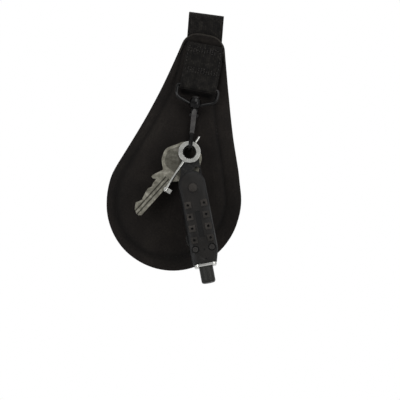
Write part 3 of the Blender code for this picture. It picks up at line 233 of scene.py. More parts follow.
def nylon_webbing():
    """25 mm nylon webbing: lengthwise ribs crossed by the weft, with a dull sheen on the crowns.

    The real cells are 1.3 by 0.9 mm; they are drawn at 2.1 by 1.5 mm so that they show. Wear
    mottles them in 4 mm patches, and the fuzz on them is 0.4 mm.
    """
    material, tree, shader = start_material(
        "ribbed_nylon_webbing",
        Roughness=0.7,
        Sheen_Weight=0.02,
        Sheen_Roughness=0.45,
        Specular_IOR_Level=0.10,
    )
    place = add(tree, "ShaderNodeTexCoord").outputs["UV"]
    cells = add(
        tree,
        "ShaderNodeTexBrick",
        {
            "Scale": 1.0,
            "Mortar Size": 0.22 * MM,
            "Mortar Smooth": 1.0,
            "Brick Width": 2.1 * MM,
            "Row Height": 1.5 * MM,
            "Color1": linear("#0f0d0c"),
            "Color2": linear("#22201d"),
            "Mortar": linear("#040303"),
        },
        {"Vector": place},
        offset=0.5,
    )
    wear = add(tree, "ShaderNodeTexNoise", {"Scale": 260, "Detail": 4}, {"Vector": place})
    tint = add(
        tree,
        "ShaderNodeValToRGB",
        links={"Fac": wear.outputs["Fac"]},
        stops=[(0.34, "#7c7873"), (0.66, "#ffffff")],
    )
    colour = add(
        tree,
        "ShaderNodeMix",
        {"Factor": 1.0},
        {6: cells.outputs["Color"], 7: tint.outputs["Color"]},
        data_type="RGBA",
        blend_type="MULTIPLY",
    )
    tree.links.new(colour.outputs[2], shader.inputs["Base Color"])
    fuzz = add(tree, "ShaderNodeTexNoise", {"Scale": 2600, "Detail": 2}, {"Vector": place})
    height = add(
        tree,
        "ShaderNodeMath",
        {1: -1.0},
        {0: cells.outputs["Fac"], 2: fuzz.outputs["Fac"]},
        operation="MULTIPLY_ADD",
    )
    bump = add(
        tree,
        "ShaderNodeBump",
        {"Strength": 0.7, "Distance": 0.2 * MM},
        {"Height": height.outputs[0]},
    )
    tree.links.new(bump.outputs["Normal"], shader.inputs["Normal"])
    return material


def needle_hole():
    """Painted shadow: a black bead for the pit that a needle leaves where the thread goes down."""
    dark = linear("#050505")
    return start_material(
        "needle_hole_shadow", Roughness=1.0, Specular_IOR_Level=0.0, Base_Color=dark
    )[0]


def bonded_thread():
    """Bonded nylon sewing thread, 0.4 mm, a little shinier than the cloth; its twist is 2.4 mm."""
    material, tree, shader = start_material(
        "bonded_nylon_thread", Roughness=0.55, Specular_IOR_Level=0.3
    )
    place = add(tree, "ShaderNodeTexCoord").outputs["Object"]
    twist = add(tree, "ShaderNodeTexNoise", {"Scale": 420, "Detail": 3}, {"Vector": place})
    shade = add(
        tree,
        "ShaderNodeValToRGB",
        links={"Fac": twist.outputs["Fac"]},
        stops=[(0.40, "#0f0d0c"), (0.62, "#2a2724")],
    )
    tree.links.new(shade.outputs["Color"], shader.inputs["Base Color"])
    return material


def relief(tree, place, axes, stops, colour):
    """Shades a colour by how far a spot stands out along its piece's own front.

    Hollows are darkened, partly as dirt and partly as painted shade, and raised edges are paler,
    partly from wear and partly as a painted highlight. The stops are (metres out from the piece's
    middle, hex).
    """
    front = axes.to_3x3() @ FRONT
    level = front.dot(axes.translation)
    along = add(tree, "ShaderNodeVectorMath", {1: front}, {0: place}, operation="DOT_PRODUCT")
    lifted = add(
        tree, "ShaderNodeMath", {1: level}, {0: along.outputs["Value"]}, operation="SUBTRACT"
    )
    height = add(tree, "ShaderNodeMath", {}, {0: lifted.outputs[0]}, operation="ABSOLUTE")
    low, high = stops[0][0], stops[-1][0]
    share = add(
        tree,
        "ShaderNodeMapRange",
        {"From Min": low, "From Max": high},
        {"Value": height.outputs[0]},
    )
    tone = add(
        tree,
        "ShaderNodeValToRGB",
        links={"Fac": share.outputs["Result"]},
        stops=[((out - low) / (high - low), tint) for out, tint in stops],
    )
    shaded = add(
        tree,
        "ShaderNodeMix",
        {"Factor": 1.0},
        {6: colour, 7: tone.outputs["Color"]},
        data_type="RGBA",
        blend_type="MULTIPLY",
    )
    return shaded.outputs[2]


def metal(
    name,
    stops,
    roughness,
    grain,
    scratch_depth,
    stretch=(1, 1, 1),
    metallic=1.0,
    level=0.5,
    wear_and_shade=None,
    patch=4.2,
):
    """A metal or a painted one: tone and gloss vary with handling, over a fine directional grain.

    grain counts its lines to the metre: 0.4 to 1.1 mm apart, where real ones are too fine to
    show. patch is the size in mm of the handled spots.
    """
    material, tree, shader = start_material(name, Metallic=metallic, Specular_IOR_Level=level)
    place = add(tree, "ShaderNodeTexCoord").outputs["Object"]
    handled = add(
        tree,
        "ShaderNodeTexNoise",
        {"Scale": 1 / (patch * MM), "Detail": 6, "Roughness": 0.65},
        {"Vector": place},
    )
    shade = add(
        tree, "ShaderNodeValToRGB", links={"Fac": handled.outputs["Fac"]}, stops=stops
    ).outputs["Color"]
    if wear_and_shade:
        shade = relief(tree, place, *wear_and_shade, shade)
    tree.links.new(shade, shader.inputs["Base Color"])
    drawn = add(tree, "ShaderNodeMapping", {"Scale": stretch}, {"Vector": place})
    lines = add(
        tree,
        "ShaderNodeTexNoise",
        {"Scale": grain, "Detail": 3, "Roughness": 0.6},
        {"Vector": drawn.outputs["Vector"]},
    )
    gloss = add(
        tree,
        "ShaderNodeMapRange",
        {"From Min": 0.3, "From Max": 0.7, "To Min": roughness[0], "To Max": roughness[1]},
        {"Value": lines.outputs["Fac"]},
    )
    tree.links.new(gloss.outputs["Result"], shader.inputs["Roughness"])
    bump = add(
        tree,
        "ShaderNodeBump",
        {"Strength": 0.5, "Distance": scratch_depth},
        {"Height": lines.outputs["Fac"]},
    )
    tree.links.new(bump.outputs["Normal"], shader.inputs["Normal"])
    return material


def moulded_nylon(name, stops, roughness, wear_and_shade=None):
    """Plastic from a spark-eroded mould, polished a little by hands in 11 mm patches.

    The real grain is 0.3 mm; it is drawn at 0.5 mm so that it shows.
    """
    grain_size = 0.5 * MM
    material, tree, shader = start_material(name, Specular_IOR_Level=0.17)
    place = add(tree, "ShaderNodeTexCoord").outputs["Object"]
    grain = add(
        tree, "ShaderNodeTexNoise", {"Scale": 1 / grain_size, "Detail": 3}, {"Vector": place}
    )
    handled = add(tree, "ShaderNodeTexNoise", {"Scale": 90, "Detail": 4}, {"Vector": place})
    shade = add(
        tree, "ShaderNodeValToRGB", links={"Fac": handled.outputs["Fac"]}, stops=stops
    ).outputs["Color"]
    if wear_and_shade:
        shade = relief(tree, place, *wear_and_shade, shade)
    tree.links.new(shade, shader.inputs["Base Color"])
    gloss = add(
        tree,
        "ShaderNodeMapRange",
        {"From Min": 0.35, "From Max": 0.65, "To Min": roughness[0], "To Max": roughness[1]},
        {"Value": handled.outputs["Fac"]},
    )
    tree.links.new(gloss.outputs["Result"], shader.inputs["Roughness"])
    bump = add(
        tree,
        "ShaderNodeBump",
        {"Strength": 0.4, "Distance": 0.1 * MM},
        {"Height": grain.outputs["Fac"]},
    )
    tree.links.new(bump.outputs["Normal"], shader.inputs["Normal"])
    return material


CLOTH = brushed_nylon(
    "brushed_nylon_laminate", [(0.34, "#0e0c0b"), (0.52, "#171412"), (0.68, "#211e1b")]
)
# The same cloth drawn paler, as a painted highlight where the rolled top edge catches the light
HIGHLIT_CLOTH = brushed_nylon(
    "nylon_fold_painted_highlight", [(0.34, "#1c1a17"), (0.52, "#2f2c28"), (0.68, "#3f3b36")]
)
WEBBING = nylon_webbing()
THREAD = bonded_thread()
HOLE = needle_hole()
# Black electrophoretic paint over a zinc casting: glossy, and rubbed thin here and there
BLACK_CASTING = metal(
    "black_painted_casting",
    [(0.30, "#040404"), (0.60, "#090909"), (0.76, "#222221")],
    roughness=(0.08, 0.20),
    grain=900,
    scratch_depth=0.008 * MM,
    metallic=0.0,
    level=0.13,
)
# Black oxide holds oil and hides the steel, so it reads as a dark film with small rubbed spots
BLACK_STEEL = metal(
    "black_oxide_steel",
    [(0.44, "#020202"), (0.54, "#080807"), (0.66, "#2a2825")],
    roughness=(0.24, 0.46),
    grain=1400,
    scratch_depth=0.04 * MM,
    metallic=0,
    level=0.28,
    patch=1.6,
)
# Cold-rolled strip, bright from the blanking tool and brushed lengthwise
GATE_STEEL = metal(
    "brushed_strip_steel",
    [(0.3, "#3b3a3a"), (0.7, "#545352")],
    roughness=(0.30, 0.48),
    grain=2600,
    scratch_depth=0.04 * MM,
    stretch=(1, 1, 0.08),
)
# Bright nickel over ground steel, fogged a little by handling
NICKEL = metal(
    "nickel_plated_steel",
    [(0.25, "#93938f"), (0.7, "#c6c6c2")],
    roughness=(0.14, 0.32),
    grain=1600,
    scratch_depth=0.03 * MM,
    stretch=(1, 1, 0.2),
)
# Nickel silver, which is a grey brass: pale where it is rubbed and dull where it is not. Its sunk
# grooves and recess get painted shade, and its raised rim a paler tone, partly wear and partly
# painted highlight
KEY_METAL = metal(
    "nickel_silver",
    [(0.25, "#504e46"), (0.5, "#747268"), (0.75, "#a8a59a")],
    roughness=(0.28, 0.50),
    grain=1900,
    scratch_depth=0.05 * MM,
    wear_and_shade=(DOOR_KEY, [(0.00045, "#707070"), (0.00062, "#a8a8a8"), (0.00108, "#ffffff")]),
)
SPRING_WIRE = metal(
    "drawn_spring_wire",
    [(0.3, "#707072"), (0.7, "#98989a")],
    roughness=(0.3, 0.4),
    grain=2400,
    scratch_depth=0.02 * MM,
)
# Glass-filled nylon: the pits, channels and screw seats are darkened as painted shade with a
# little dirt, and the raised pads are paler, partly rubbed by hands and partly as a painted
# highlight
GRIP = moulded_nylon(
    "glass_filled_nylon",
    [(0.3, "#1c1a17"), (0.6, "#292623"), (0.8, "#3a3632")],
    roughness=(0.42, 0.58),
    wear_and_shade=(
        TOOL,
        [
            (0.0114, "#101010"),
            (0.0122, "#303030"),
            (0.01236, "#848484"),
            (0.0128, "#c8c8c8"),
            (0.01292, "#ffffff"),
        ],
    ),
)
SCREW_STEEL = metal(
    "worn_black_screws",
    [(0.3, "#161514"), (0.7, "#2c2a28")],
    roughness=(0.38, 0.55),
    grain=2200,
    scratch_depth=0.03 * MM,
    metallic=0.6,
)
CAP_PLASTIC = moulded_nylon("acetal_nose", [(0.3, "#1a1a18"), (0.7, "#272724")], (0.46, 0.60))


# Mesh helpers

def settle(name, shape, body, material, place=None, replaces=(), angle=35):
    """Turns a bmesh into a piece and sets it on its body, or on none where it blends."""
    if place is not None:
        bmesh.ops.transform(shape, matrix=place, verts=shape.verts)
    mesh = bpy.data.meshes.new(name)
    shape.to_mesh(mesh)
    shape.free()
    mesh.materials.append(material)
    mesh.shade_smooth()
    mesh.set_sharp_from_angle(angle=math.radians(angle))
    piece = bpy.data.objects.new(name, mesh)
    bpy.context.scene.collection.objects.link(piece)
    if body:
        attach(piece, body)
    if replaces:
        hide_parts(*replaces)
    return piece


def panel(rings):
    """A closed skin through rings of points, with its first and last ring filled."""
    shape = bmesh.new()
    loops = []
    for points in rings:
        verts = [shape.verts.new(point) for point in points]
        loops.append([shape.edges.new(pair) for pair in zip(verts, verts[1:] + verts[:1])])
    for lower, upper in zip(loops, loops[1:]):
        bmesh.ops.bridge_loops(shape, edges=lower + upper)
    for loop in (loops[0], loops[-1]):
        bmesh.ops.edgeloop_fill(shape, edges=loop)
    bmesh.ops.recalc_face_normals(shape, faces=shape.faces)
    return shape


def sew(name, places, length, thick, rise=None, material=THREAD, lean=None):
    """Stitches: a low-sided bead of thread at each (point, direction, outward normal)."""
    shape = bmesh.new()
    size = Matrix.Diagonal((length, thick, rise or thick, 1))
    for point, along, out in places:
        axes = Matrix((along, out.cross(along), out)).transposed().to_4x4()
        made = bmesh.ops.create_uvsphere(shape, u_segments=6, v_segments=5, radius=0.5)["verts"]
        bmesh.ops.transform(shape, matrix=Matrix.Translation(point) @ axes @ size, verts=made)
    settle(name, shape, "pad", material, lean)


def arc(centre, radius, start, end, steps):
    angles = [math.radians(start + (end - start) * i / steps) for i in range(steps + 1)]
    return [(centre[0] + radius * math.cos(a), centre[1] + radius * math.sin(a)) for a in angles]


def ease_line(start, end, steps):
    """Points from start to end that leave and arrive along the second axis."""
    points = []
    for i in range(steps + 1):
        share = i / steps
        across = (1 - math.cos(math.pi * share)) / 2
        x = start[0] + (end[0] - start[0]) * across
        points.append((x, start[1] + (end[1] - start[1]) * share))
    return points


def even_points(points, pitch):
    """Points at an even pitch round a closed outline, with the direction there."""
    closed = [Vector(p) for p in points] + [Vector(points[0])]
    total = sum((b - a).length for a, b in zip(closed, closed[1:]))
    count = round(total / pitch)
    found, travelled, target = [], 0.0, 0.0
    for a, b in zip(closed, closed[1:]):
        length = (b - a).length
        while target < travelled + length and len(found) < count:
            found.append((a.lerp(b, (target - travelled) / length), (b - a).normalized()))
            target += total / count
        travelled += length
    return found


# Pad outline: a round bottom, flanks that draw in on a long radius, and rounded shoulders

ROUND = 0.0475
FLANK = 0.7
SHOULDER = 0.0105
# The middle of the shoulder's round, from the middle of the bottom's
SHOULDER_SPOT = Vector((0.0050, 0.1113))
PAD_TOP = 0.1227

# How much fuller than the plain teardrop the stuffed pad is on each side: height and swell in mm
FULL_RIGHT = [
    (-48, 0.8),
    (-42, 0.5),
    (-34, 0.1),
    (-20, 0.0),
    (-3, 0.2),
    (8, 0.9),
    (20, 1.7),
    (31, 2.5),
    (41, 2.4),
    (52, 2.1),
    (80, 2.1),
    (100, 1.7),
    (124, 0.8),
]
FULL_LEFT = [
    (-48, 0.8),
    (-38, 1.0),
    (-20, 0.75),
    (-6, 0.55),
    (3, 0.8),
    (14, 1.5),
    (21, 1.7),
    (30, 1.45),
    (44, 0.9),
    (58, 0.3),
    (80, -0.2),
]

SEAM_INSET = 0.0100
# The raised middle is sewn a little left of the pad's own middle, except at its neck
SEAM_SHIFT = 0.0022
STITCH_PITCH = 2.8 * MM
CONTOUR_STEP = 0.4 * MM


def fuller(x, z):
    """A contour point moved out to the stuffed pad's own outline."""
    table = FULL_RIGHT if x > 0 else FULL_LEFT
    height = z / MM
    swell = table[0][1] if height < table[0][0] else table[-1][1]
    for (low, start), (high, end) in zip(table, table[1:]):
        if low <= height <= high:
            swell = start + (end - start) * (height - low) / (high - low)
    out = Vector((x, min(z, 0))).normalized() * swell * MM
    if z > 0:
        out *= min(abs(x) / (4 * MM), 1)
    return (x + out.x, z + out.y)


def pad_contour(inset, neck_half=0.0, top=PAD_TOP, corner=SHOULDER):
    """The teardrop this far inside its edge, as (x, z) points from the middle of its bottom."""
    reach, small = FLANK + ROUND, FLANK + SHOULDER
    along = (reach**2 - small**2 + SHOULDER_SPOT.length_squared) / (2 * SHOULDER_SPOT.length)
    across = math.sqrt(reach**2 - along**2)
    up = SHOULDER_SPOT.normalized()
    side = up * along + Vector((up.y, -up.x)) * across
    flank = FLANK + inset
    middle = top - corner
    if neck_half:
        lean, corner_x = 0.0, neck_half - corner
    else:
        lean = math.asin((side.y - middle) / (flank + corner))
        corner_x = side.x - (flank + corner) * math.cos(lean)
    half = arc((0, 0), ROUND - inset, -90, math.degrees(math.atan2(side.y, side.x)), 30)
    low, high = half[-1][1], middle + corner * math.sin(lean)
    for i in range(1, 24):
        z = low + (high - low) * i / 24
        half.append((max(side.x - math.sqrt(flank**2 - (side.y - z) ** 2), neck_half), z))
    half += arc((corner_x, middle), corner, math.degrees(lean), 90, 8)
    return [fuller(x, z) for x, z in half + [(-x, z) for x, z in reversed(half) if x > 1e-6]]


def inner_contour(inset):
    """A contour past the pad's seam, whose neck stays open."""
    past = inset - 0.0092
    corner = max(0.0058 - past / 2, 0.002)
    points = pad_contour(inset - 0.0010, 0.015 - past, 0.1172 - past, corner)
    return [(x - SEAM_SHIFT * clamp((0.100 - z) / 0.03), z) for x, z in points]


def in_pad(points, y):
    return [(x, y, z + PAD_CENTRE_Z) for x, z in points]


def sew_seam(name, y, out, length, thick):
    """The seam's stitches at this depth, all round."""
    places = []
    for point, along in even_points(inner_contour(SEAM_INSET), STITCH_PITCH):
        centre = Vector((point.x, y, point.y + PAD_CENTRE_Z))
        places.append((centre, Vector((along.x, 0, along.y)), out))
    sew(name, places, length, thick)


# Pad

def pad_front_shape():
    """The front before it is stuffed: flat sewn margin, then a low raised middle."""
    return panel(
        [
            in_pad(pad_contour(0.0014), BACK_PANEL_FRONT + 0.0005),
            in_pad(pad_contour(0.0), BACK_PANEL_FRONT - 0.0003),
            in_pad(pad_contour(0.0), MARGIN_OUT + 0.0009),
            in_pad(pad_contour(0.0006), MARGIN_OUT + 0.0004),
            in_pad(pad_contour(0.0045), MARGIN_OUT),
            in_pad(inner_contour(0.0090), MARGIN_OUT + 0.0005),
            in_pad(inner_contour(0.0106), MARGIN_OUT - 0.0001),
            in_pad(inner_contour(0.0126), STRAP_SEAT),
        ]
    )


def remeshed(name, shape, voxel):
    """A piece on an even grid, which cloth needs."""
    mesh = bpy.data.meshes.new(name)
    shape.to_mesh(mesh)
    shape.free()
    piece = bpy.data.objects.new(name, mesh)
    bpy.context.scene.collection.objects.link(piece)
    grid = piece.modifiers.new("grid", "REMESH")
    grid.mode = "VOXEL"
    grid.voxel_size = voxel
    graph = bpy.context.evaluated_depsgraph_get()
    made = bpy.data.meshes.new_from_object(piece.evaluated_get(graph))
    piece.modifiers.clear()
    piece.data = made
    bpy.data.meshes.remove(mesh)
    return piece


def stuff(piece, held, pressure, cap):
    """Blows a remeshed piece up a little with Cloth, its held points pinned, by at most cap."""
    last_frame = 20
    start = [v.co.copy() for v in piece.data.vertices]
    pins = piece.vertex_groups.new(name="sewn")
    for vert in piece.data.vertices:
        if held(vert.co):
            pins.add([vert.index], 1.0, "REPLACE")
    cloth = piece.modifiers.new("stuffing", "CLOTH")
    cloth.settings.quality = 4
    cloth.settings.mass = 0.2
    cloth.settings.tension_stiffness = 12
    cloth.settings.compression_stiffness = 12
    cloth.settings.bending_stiffness = 0.4
    cloth.settings.use_pressure = True
    cloth.settings.uniform_pressure_force = pressure
    cloth.settings.effector_weights.gravity = 0
    cloth.settings.vertex_group_mass = "sewn"
    cloth.collision_settings.use_collision = False
    cloth.point_cache.frame_start = 1
    cloth.point_cache.frame_end = last_frame
    for step in range(1, last_frame + 1):
        bpy.context.scene.frame_set(step)
    graph = bpy.context.evaluated_depsgraph_get()
    blown = bpy.data.meshes.new_from_object(piece.evaluated_get(graph))
    piece.modifiers.clear()
    for vert, rest, made in zip(piece.data.vertices, start, blown.vertices):
        move = made.co - rest
        if move.length > cap:
            move *= cap / move.length
        vert.co = rest + move
    bpy.data.meshes.remove(blown)
    bpy.context.scene.frame_set(1)


def along_line(points):
    """A search tree of a contour's even points, in the pad's plane."""
    tree = kdtree.KDTree(len(points))
    for index, (point, _) in enumerate(points):
        tree.insert((point.x, 0, point.y + PAD_CENTRE_Z), index)
    tree.balance()
    return tree


def top_flap(co, inset):
    """Millimetres that the cloth above the strap stands out.

    It has a rolled edge 1 mm inside the rim, and a diagonal fold that laps over itself.
    """
    height = co.z - PAD_CENTRE_Z
    rolled = 0.7 * clamp((height - 0.104) / 0.010) * bell(inset / MM - 1.0, 0.9)
    x, z = (co.x + 0.0073) / MM, (height - 0.1218) / MM
    past, down = 0.659 * x + 0.752 * z, 0.752 * x - 0.659 * z
    lapped = 0.8 * clamp((past + 0.4) / 0.8) * math.exp(-max(past, 0) / 7)
    return rolled + lapped * clamp((11 - down) / 3) * clamp((height - 0.112) / 0.003)


def dress_front(piece, seam, rim):
    """Sinks the seam, puckers the cloth beside it and presses it in under the strap's fold.
    It also paints shade into crease_shade along the seam and in that hollow.
    """
    fold_z = -0.0316
    crease_shade = piece.data.attributes.new("crease_shade", "FLOAT", "POINT")
    for vert in piece.data.vertices:
        co = vert.co
        if co.y > BACK_PANEL_FRONT - 0.0005:
            continue
        flat = Vector((co.x, 0, co.z))
        _, index, gap = seam.find(flat)
        travelled = index * CONTOUR_STEP
        beside = clamp((STRAP_HALF - abs(co.x - STRAP_X)) / (2 * MM))
        hollow = beside * bell(co.z - fold_z, 1.6 * MM)
        # The painted seam shade is broad and soft low on the left, and narrow elsewhere
        low_left = clamp((PAD_CENTRE_Z - co.x - co.z) / 0.03)
        painted_shade = 0.55 * bell(gap, (1.2 + 1.9 * low_left) * MM)
        # Painted shade: the seam's crease, and the hollow under the fold as painted shadow
        crease_shade.data[vert.index].value = max(painted_shade, hollow)
        sunk = 0.55 * bell(gap, MM)
        between = 1 + math.cos(2 * math.pi * travelled / STITCH_PITCH)
        dimple = 0.07 * between * bell(gap, 1.6 * MM)
        pucker = noise.noise(Vector((travelled / (5.5 * MM), 0, 0))) * bell(gap, 4.5 * MM)
        pucker *= 0.22 * min(gap / (1.5 * MM), 1)
        ripple = 0.8 * (noise.noise(co * 70) * 0.16 + noise.noise(co * 190) * 0.06)
        co.y += (sunk + dimple + pucker + ripple) * MM
        co.y += (1.9 * hollow - top_flap(co, rim.find(flat)[2])) * MM
        co.y = max(co.y, PAD_FRONT)


def build_pad_front():
    piece = remeshed("pad_stuffed_front", pad_front_shape(), 1.0 * MM)
    seam = along_line(even_points(inner_contour(SEAM_INSET), CONTOUR_STEP))
    rim = along_line(even_points(pad_contour(0), CONTOUR_STEP))

    def held(co):
        """Whether a point is on the back, in the margin or under the strap."""
        if co.y > MARGIN_OUT - 0.0001 or rim.find(Vector((co.x, 0, co.z)))[2] < 0.0070:
            return True
        return abs(co.x - STRAP_X) < STRAP_HALF + 0.001 and co.z > -0.031

    stuff(piece, held, 3.0, 0.55 * MM)
    dress_front(piece, seam, rim)
    mesh = piece.data
    mesh.materials.clear()
    mesh.materials.append(CLOTH)
    mesh.shade_smooth()
    smooth = piece.modifiers.new("soft", "SUBSURF")
    smooth.levels = 1
    smooth.render_levels = 1
    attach(piece, "pad")
    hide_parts("pad_front_panel", "pad_core")
    sew_seam("pad_seam_stitches", -0.00625, FRONT, 2.2 * MM, 0.28 * MM)


def build_top_roll():
    """The rolled edge of the cloth over the pad's top, from shoulder to shoulder, in paler cloth
    as a painted highlight.
    """
    points = [p for p in pad_contour(0.0010) if p[1] > 0.1035]
    curve = bpy.data.curves.new("top_roll", "CURVE")
    curve.dimensions = "3D"
    curve.bevel_depth = 0.5 * MM
    curve.bevel_resolution = 2
    curve.use_fill_caps = True
    line = curve.splines.new("POLY")
    line.points.add(len(points) - 1)
    for spot, (x, z) in zip(line.points, points):
        uneven = 0.4 * MM * noise.noise(Vector((x * 180, 0, z * 180)))
        spot.co = (x, -0.0075 + uneven, z + PAD_CENTRE_Z, 1)
    holder = bpy.data.objects.new("top_roll", curve)
    shape = bmesh.new()
    shape.from_mesh(bpy.data.meshes.new_from_object(holder))
    bpy.data.objects.remove(holder)
    settle("pad_rolled_edge", shape, "pad", HIGHLIT_CLOTH, angle=60)


def build_pad_back():
    """The lining: a flat panel with a rolled edge, sunk along the same seam."""
    shape = panel(
        [
            in_pad(pad_contour(0.0004), BACK_PANEL_FRONT),
            in_pad(pad_contour(0.0), BACK_PANEL_FRONT + 0.0002),
            in_pad(pad_contour(0.0003), LINING_OUT - 0.0002),
            in_pad(pad_contour(0.0010), LINING_OUT),
            in_pad(pad_contour(0.0050), LINING_OUT),
            in_pad(inner_contour(0.0094), LINING_OUT - 0.0001),
            in_pad(inner_contour(SEAM_INSET), LINING_OUT - 0.0004),
            in_pad(inner_contour(0.0107), LINING_OUT - 0.0001),
            in_pad(inner_contour(0.0125), LINING_OUT),
        ]
    )
    piece = settle(
        "pad_lining",
        shape,
        "pad",
        CLOTH,
        replaces=("pad_back_panel",),
        angle=60,
    )
    sew_seam("lining_seam_stitches", LINING_OUT - 0.0003, BACK, 2.3 * MM, 0.42 * MM)


# Webbing

def web_piece(name, node, path, middle, width, place=None, skew=0.0):
    """Webbing as an open strip with its UV in metres, thickened about its middle.

    The path is in (y, z). Its woven edges are rounded, and skew slants its top.
    """
    shape = bmesh.new()
    start = middle - width / 2
    line = [shape.verts.new((start, y, z)) for y, z in path]
    edges = [shape.edges.new(pair) for pair in zip(line, line[1:])]
    made = bmesh.ops.extrude_edge_only(shape, edges=edges)["geom"]
    far = [item for item in made if isinstance(item, bmesh.types.BMVert)]
    bmesh.ops.translate(shape, vec=(width, 0, 0), verts=far)
    travelled = [0.0]
    for here, there in zip(path, path[1:]):
        travelled.append(travelled[-1] + math.dist(here, there))
    layer = shape.loops.layers.uv.new("UVMap")
    shape.verts.index_update()
    for face in shape.faces:
        for loop in face.loops:
            spot = min(range(len(path)), key=lambda i: math.dist(path[i], loop.vert.co.yz))
            loop[layer].uv = (travelled[spot], loop.vert.co.x - start)
    for vert in shape.verts:
        vert.co.z += skew * (middle - vert.co.x) * clamp(vert.co.z / 0.02)
    piece = settle(name, shape, "pad", WEBBING, place, (node,), angle=50)
    wall = piece.modifiers.new("thickness", "SOLIDIFY")
    wall.thickness = WEB_THICK
    wall.offset = 0
    wall.use_even_offset = True
    roll = piece.modifiers.new("woven_edge", "BEVEL")
    roll.width = 0.4 * MM
    roll.segments = 3
    roll.limit_method = "ANGLE"
    roll.angle_limit = math.radians(60)


def sew_strap(face):
    """The strap's hand-guided zigzag rows, with the needle holes that show beside them as black
    beads of painted shadow.
    """
    places, holes = [], []
    half = 0.0114
    for low in (-0.0165, -0.0016):
        for row in range(3):
            for i in range(13):
                uneven = noise.noise(Vector((i * 1.7, row * 3.1, low * 900)))
                x = STRAP_X - half + 2 * half * i / 12 + 0.7 * uneven * MM
                z = low + (1.35 * row + 1.3 * uneven) * MM
                lean = (0.75 if (i + row) % 2 else -0.75) + 1.6 * uneven
                if uneven < 0.18:
                    along = Vector((math.cos(lean), 0, math.sin(lean)))
                    places.append((Vector((x, face, z)), along, FRONT))
                if uneven > -0.05:
                    spot = Vector((x + 0.0009, face, z - 0.0002))
                    holes.append((spot, Vector((1, 0, 0)), FRONT))
    for x in (STRAP_X - 0.0118, STRAP_X + 0.0118):
        for i in range(5):
            spot = Vector((x, face, -0.0119 + 0.0024 * i))
            places.append((spot, Vector((0, 0, 1)), FRONT))
    sew("strap_stitches", places, 1.6 * MM, 0.5 * MM)
    sew(
        "strap_needle_holes",
        holes,
        0.8 * MM,
        0.7 * MM,
        rise=0.16 * MM,
        material=HOLE,
    )


def sew_belt_loop(face):
    """A box of stitches through the loop's lower end, behind the pad."""
    places = []
    half = 0.0100
    for i in range(9):
        for z in (-0.0335, -0.0370):
            spot = Vector((BELT_X - half + 2 * half * i / 8, face, z))
            places.append((spot, Vector((1, 0, 0)), BACK))
    for i in range(3):
        for x in (BELT_X - half, BELT_X + half):
            spot = Vector((x, face, -0.0342 - 0.0011 * i))
            places.append((spot, Vector((0, 0, 1)), BACK))
    sew("belt_loop_stitches", places, 1.9 * MM, 0.45 * MM, lean=BELT_LEAN)


def build_straps():
    """The loop behind the pad, and the hook strap folded round the D-loop's bar."""
    reach = 0.0037
    # The leaf on the pad's back lies 0.25 mm closer to it than the loop's half depth
    sewn = -reach - 0.00025
    path = [(sewn, -0.008), (sewn, 0.008)]
    path += ease_line((sewn, 0.010), (-reach, 0.018), 6)
    path += arc((0, 0.0217), reach, 180, 0, 20)
    path += ease_line((reach, -0.021), (sewn, -0.032), 16)
    path += [(sewn, -0.038)]
    web_piece(
        "belt_webbing",
        "belt_loop",
        path,
        BELT_X,
        BELT_WIDTH,
        place=BELT_LEAN,
        skew=0.055,
    )
    fold, inner = 0.0022, STRAP_SEAT - WEB_THICK / 2
    outer = inner - WEB_THICK - 0.00005
    path = [(inner, 0.0032), (inner, -0.010)]
    path += ease_line((inner, -0.014), (BAR_Y + fold, -0.0255), 10)
    path += arc((BAR_Y, BAR_Z), fold, 0, -180, 20)
    path += ease_line(path[-1], (outer, -0.016), 14)[1:]
    path += [(outer, 0.0040)]
    web_piece("hook_webbing", "hook_strap", path, STRAP_X, 2 * STRAP_HALF)
    sew_strap(outer - WEB_THICK / 2 - STITCH_LIFT)
    sew_belt_loop(sewn + WEB_THICK / 2 + STITCH_LIFT)


# Metalwork and tool

def widen_pits(shape):
    """Opens the grip's pits to 2 mm and deepens them, as their 1.2 mm is under two pixels."""
    out_of = TOOL.inverted()
    for side in (-1, 1):
        for row in range(4):
            centre = Vector((side * 0.00585, 0, -(0.0119 + row * 0.0085)))
            for vert in shape.verts:
                spot = out_of @ vert.co
                offset = Vector((spot.x - centre.x, 0, spot.z - centre.z))
                if offset.length < 0.8 * MM and spot.y < -0.0118:
                    deeper = 0.6 * MM if spot.y > -0.0126 else 0
                    vert.co = TOOL @ (centre + offset * 1.65 + Vector((0, spot.y + deeper, 0)))


def slim_screw(shape):
    """Draws a screw head in by a fifth, so that the dark ring round it shows: the seat floor there
    is darkened as painted shade by the grip's colour.
    """
    out_of = TOOL.inverted()
    spots = [out_of @ vert.co for vert in shape.verts]
    middle = sum(spots, Vector()) / len(spots)
    for vert, spot in zip(shape.verts, spots):
        x = middle.x + (spot.x - middle.x) * 0.8
        z = middle.z + (spot.z - middle.z) * 0.8
        vert.co = TOOL @ Vector((x, spot.y, z))


def eased(node, name, body, slot, material, edge):
    """A CAD node's own shape with its doubles merged and its edges eased by this many mm."""
    edge_angle = 28
    shape = bmesh.new()
    shape.from_mesh(NODES[node].data)
    bmesh.ops.remove_doubles(shape, verts=shape.verts, dist=0.002 * MM)
    if node in RESHAPED:
        RESHAPED[node](shape)
    bmesh.ops.dissolve_limit(
        shape,
        angle_limit=math.radians(1),
        verts=shape.verts,
        edges=shape.edges,
        delimit={"NORMAL"},
    )
    piece = settle(name, shape, body, material, replaces=(node,), angle=edge_angle)
    if edge:
        ease = piece.modifiers.new("eased_edges", "BEVEL")
        ease.width = edge * MM
        ease.segments = 2
        ease.limit_method = "ANGLE"
        ease.angle_limit = math.radians(edge_angle)
        ease.harden_normals = True
    return piece


RESHAPED = {
    "tool_front_shell": widen_pits,
    "shell_screw_left": slim_screw,
    "shell_screw_right": slim_screw,
}

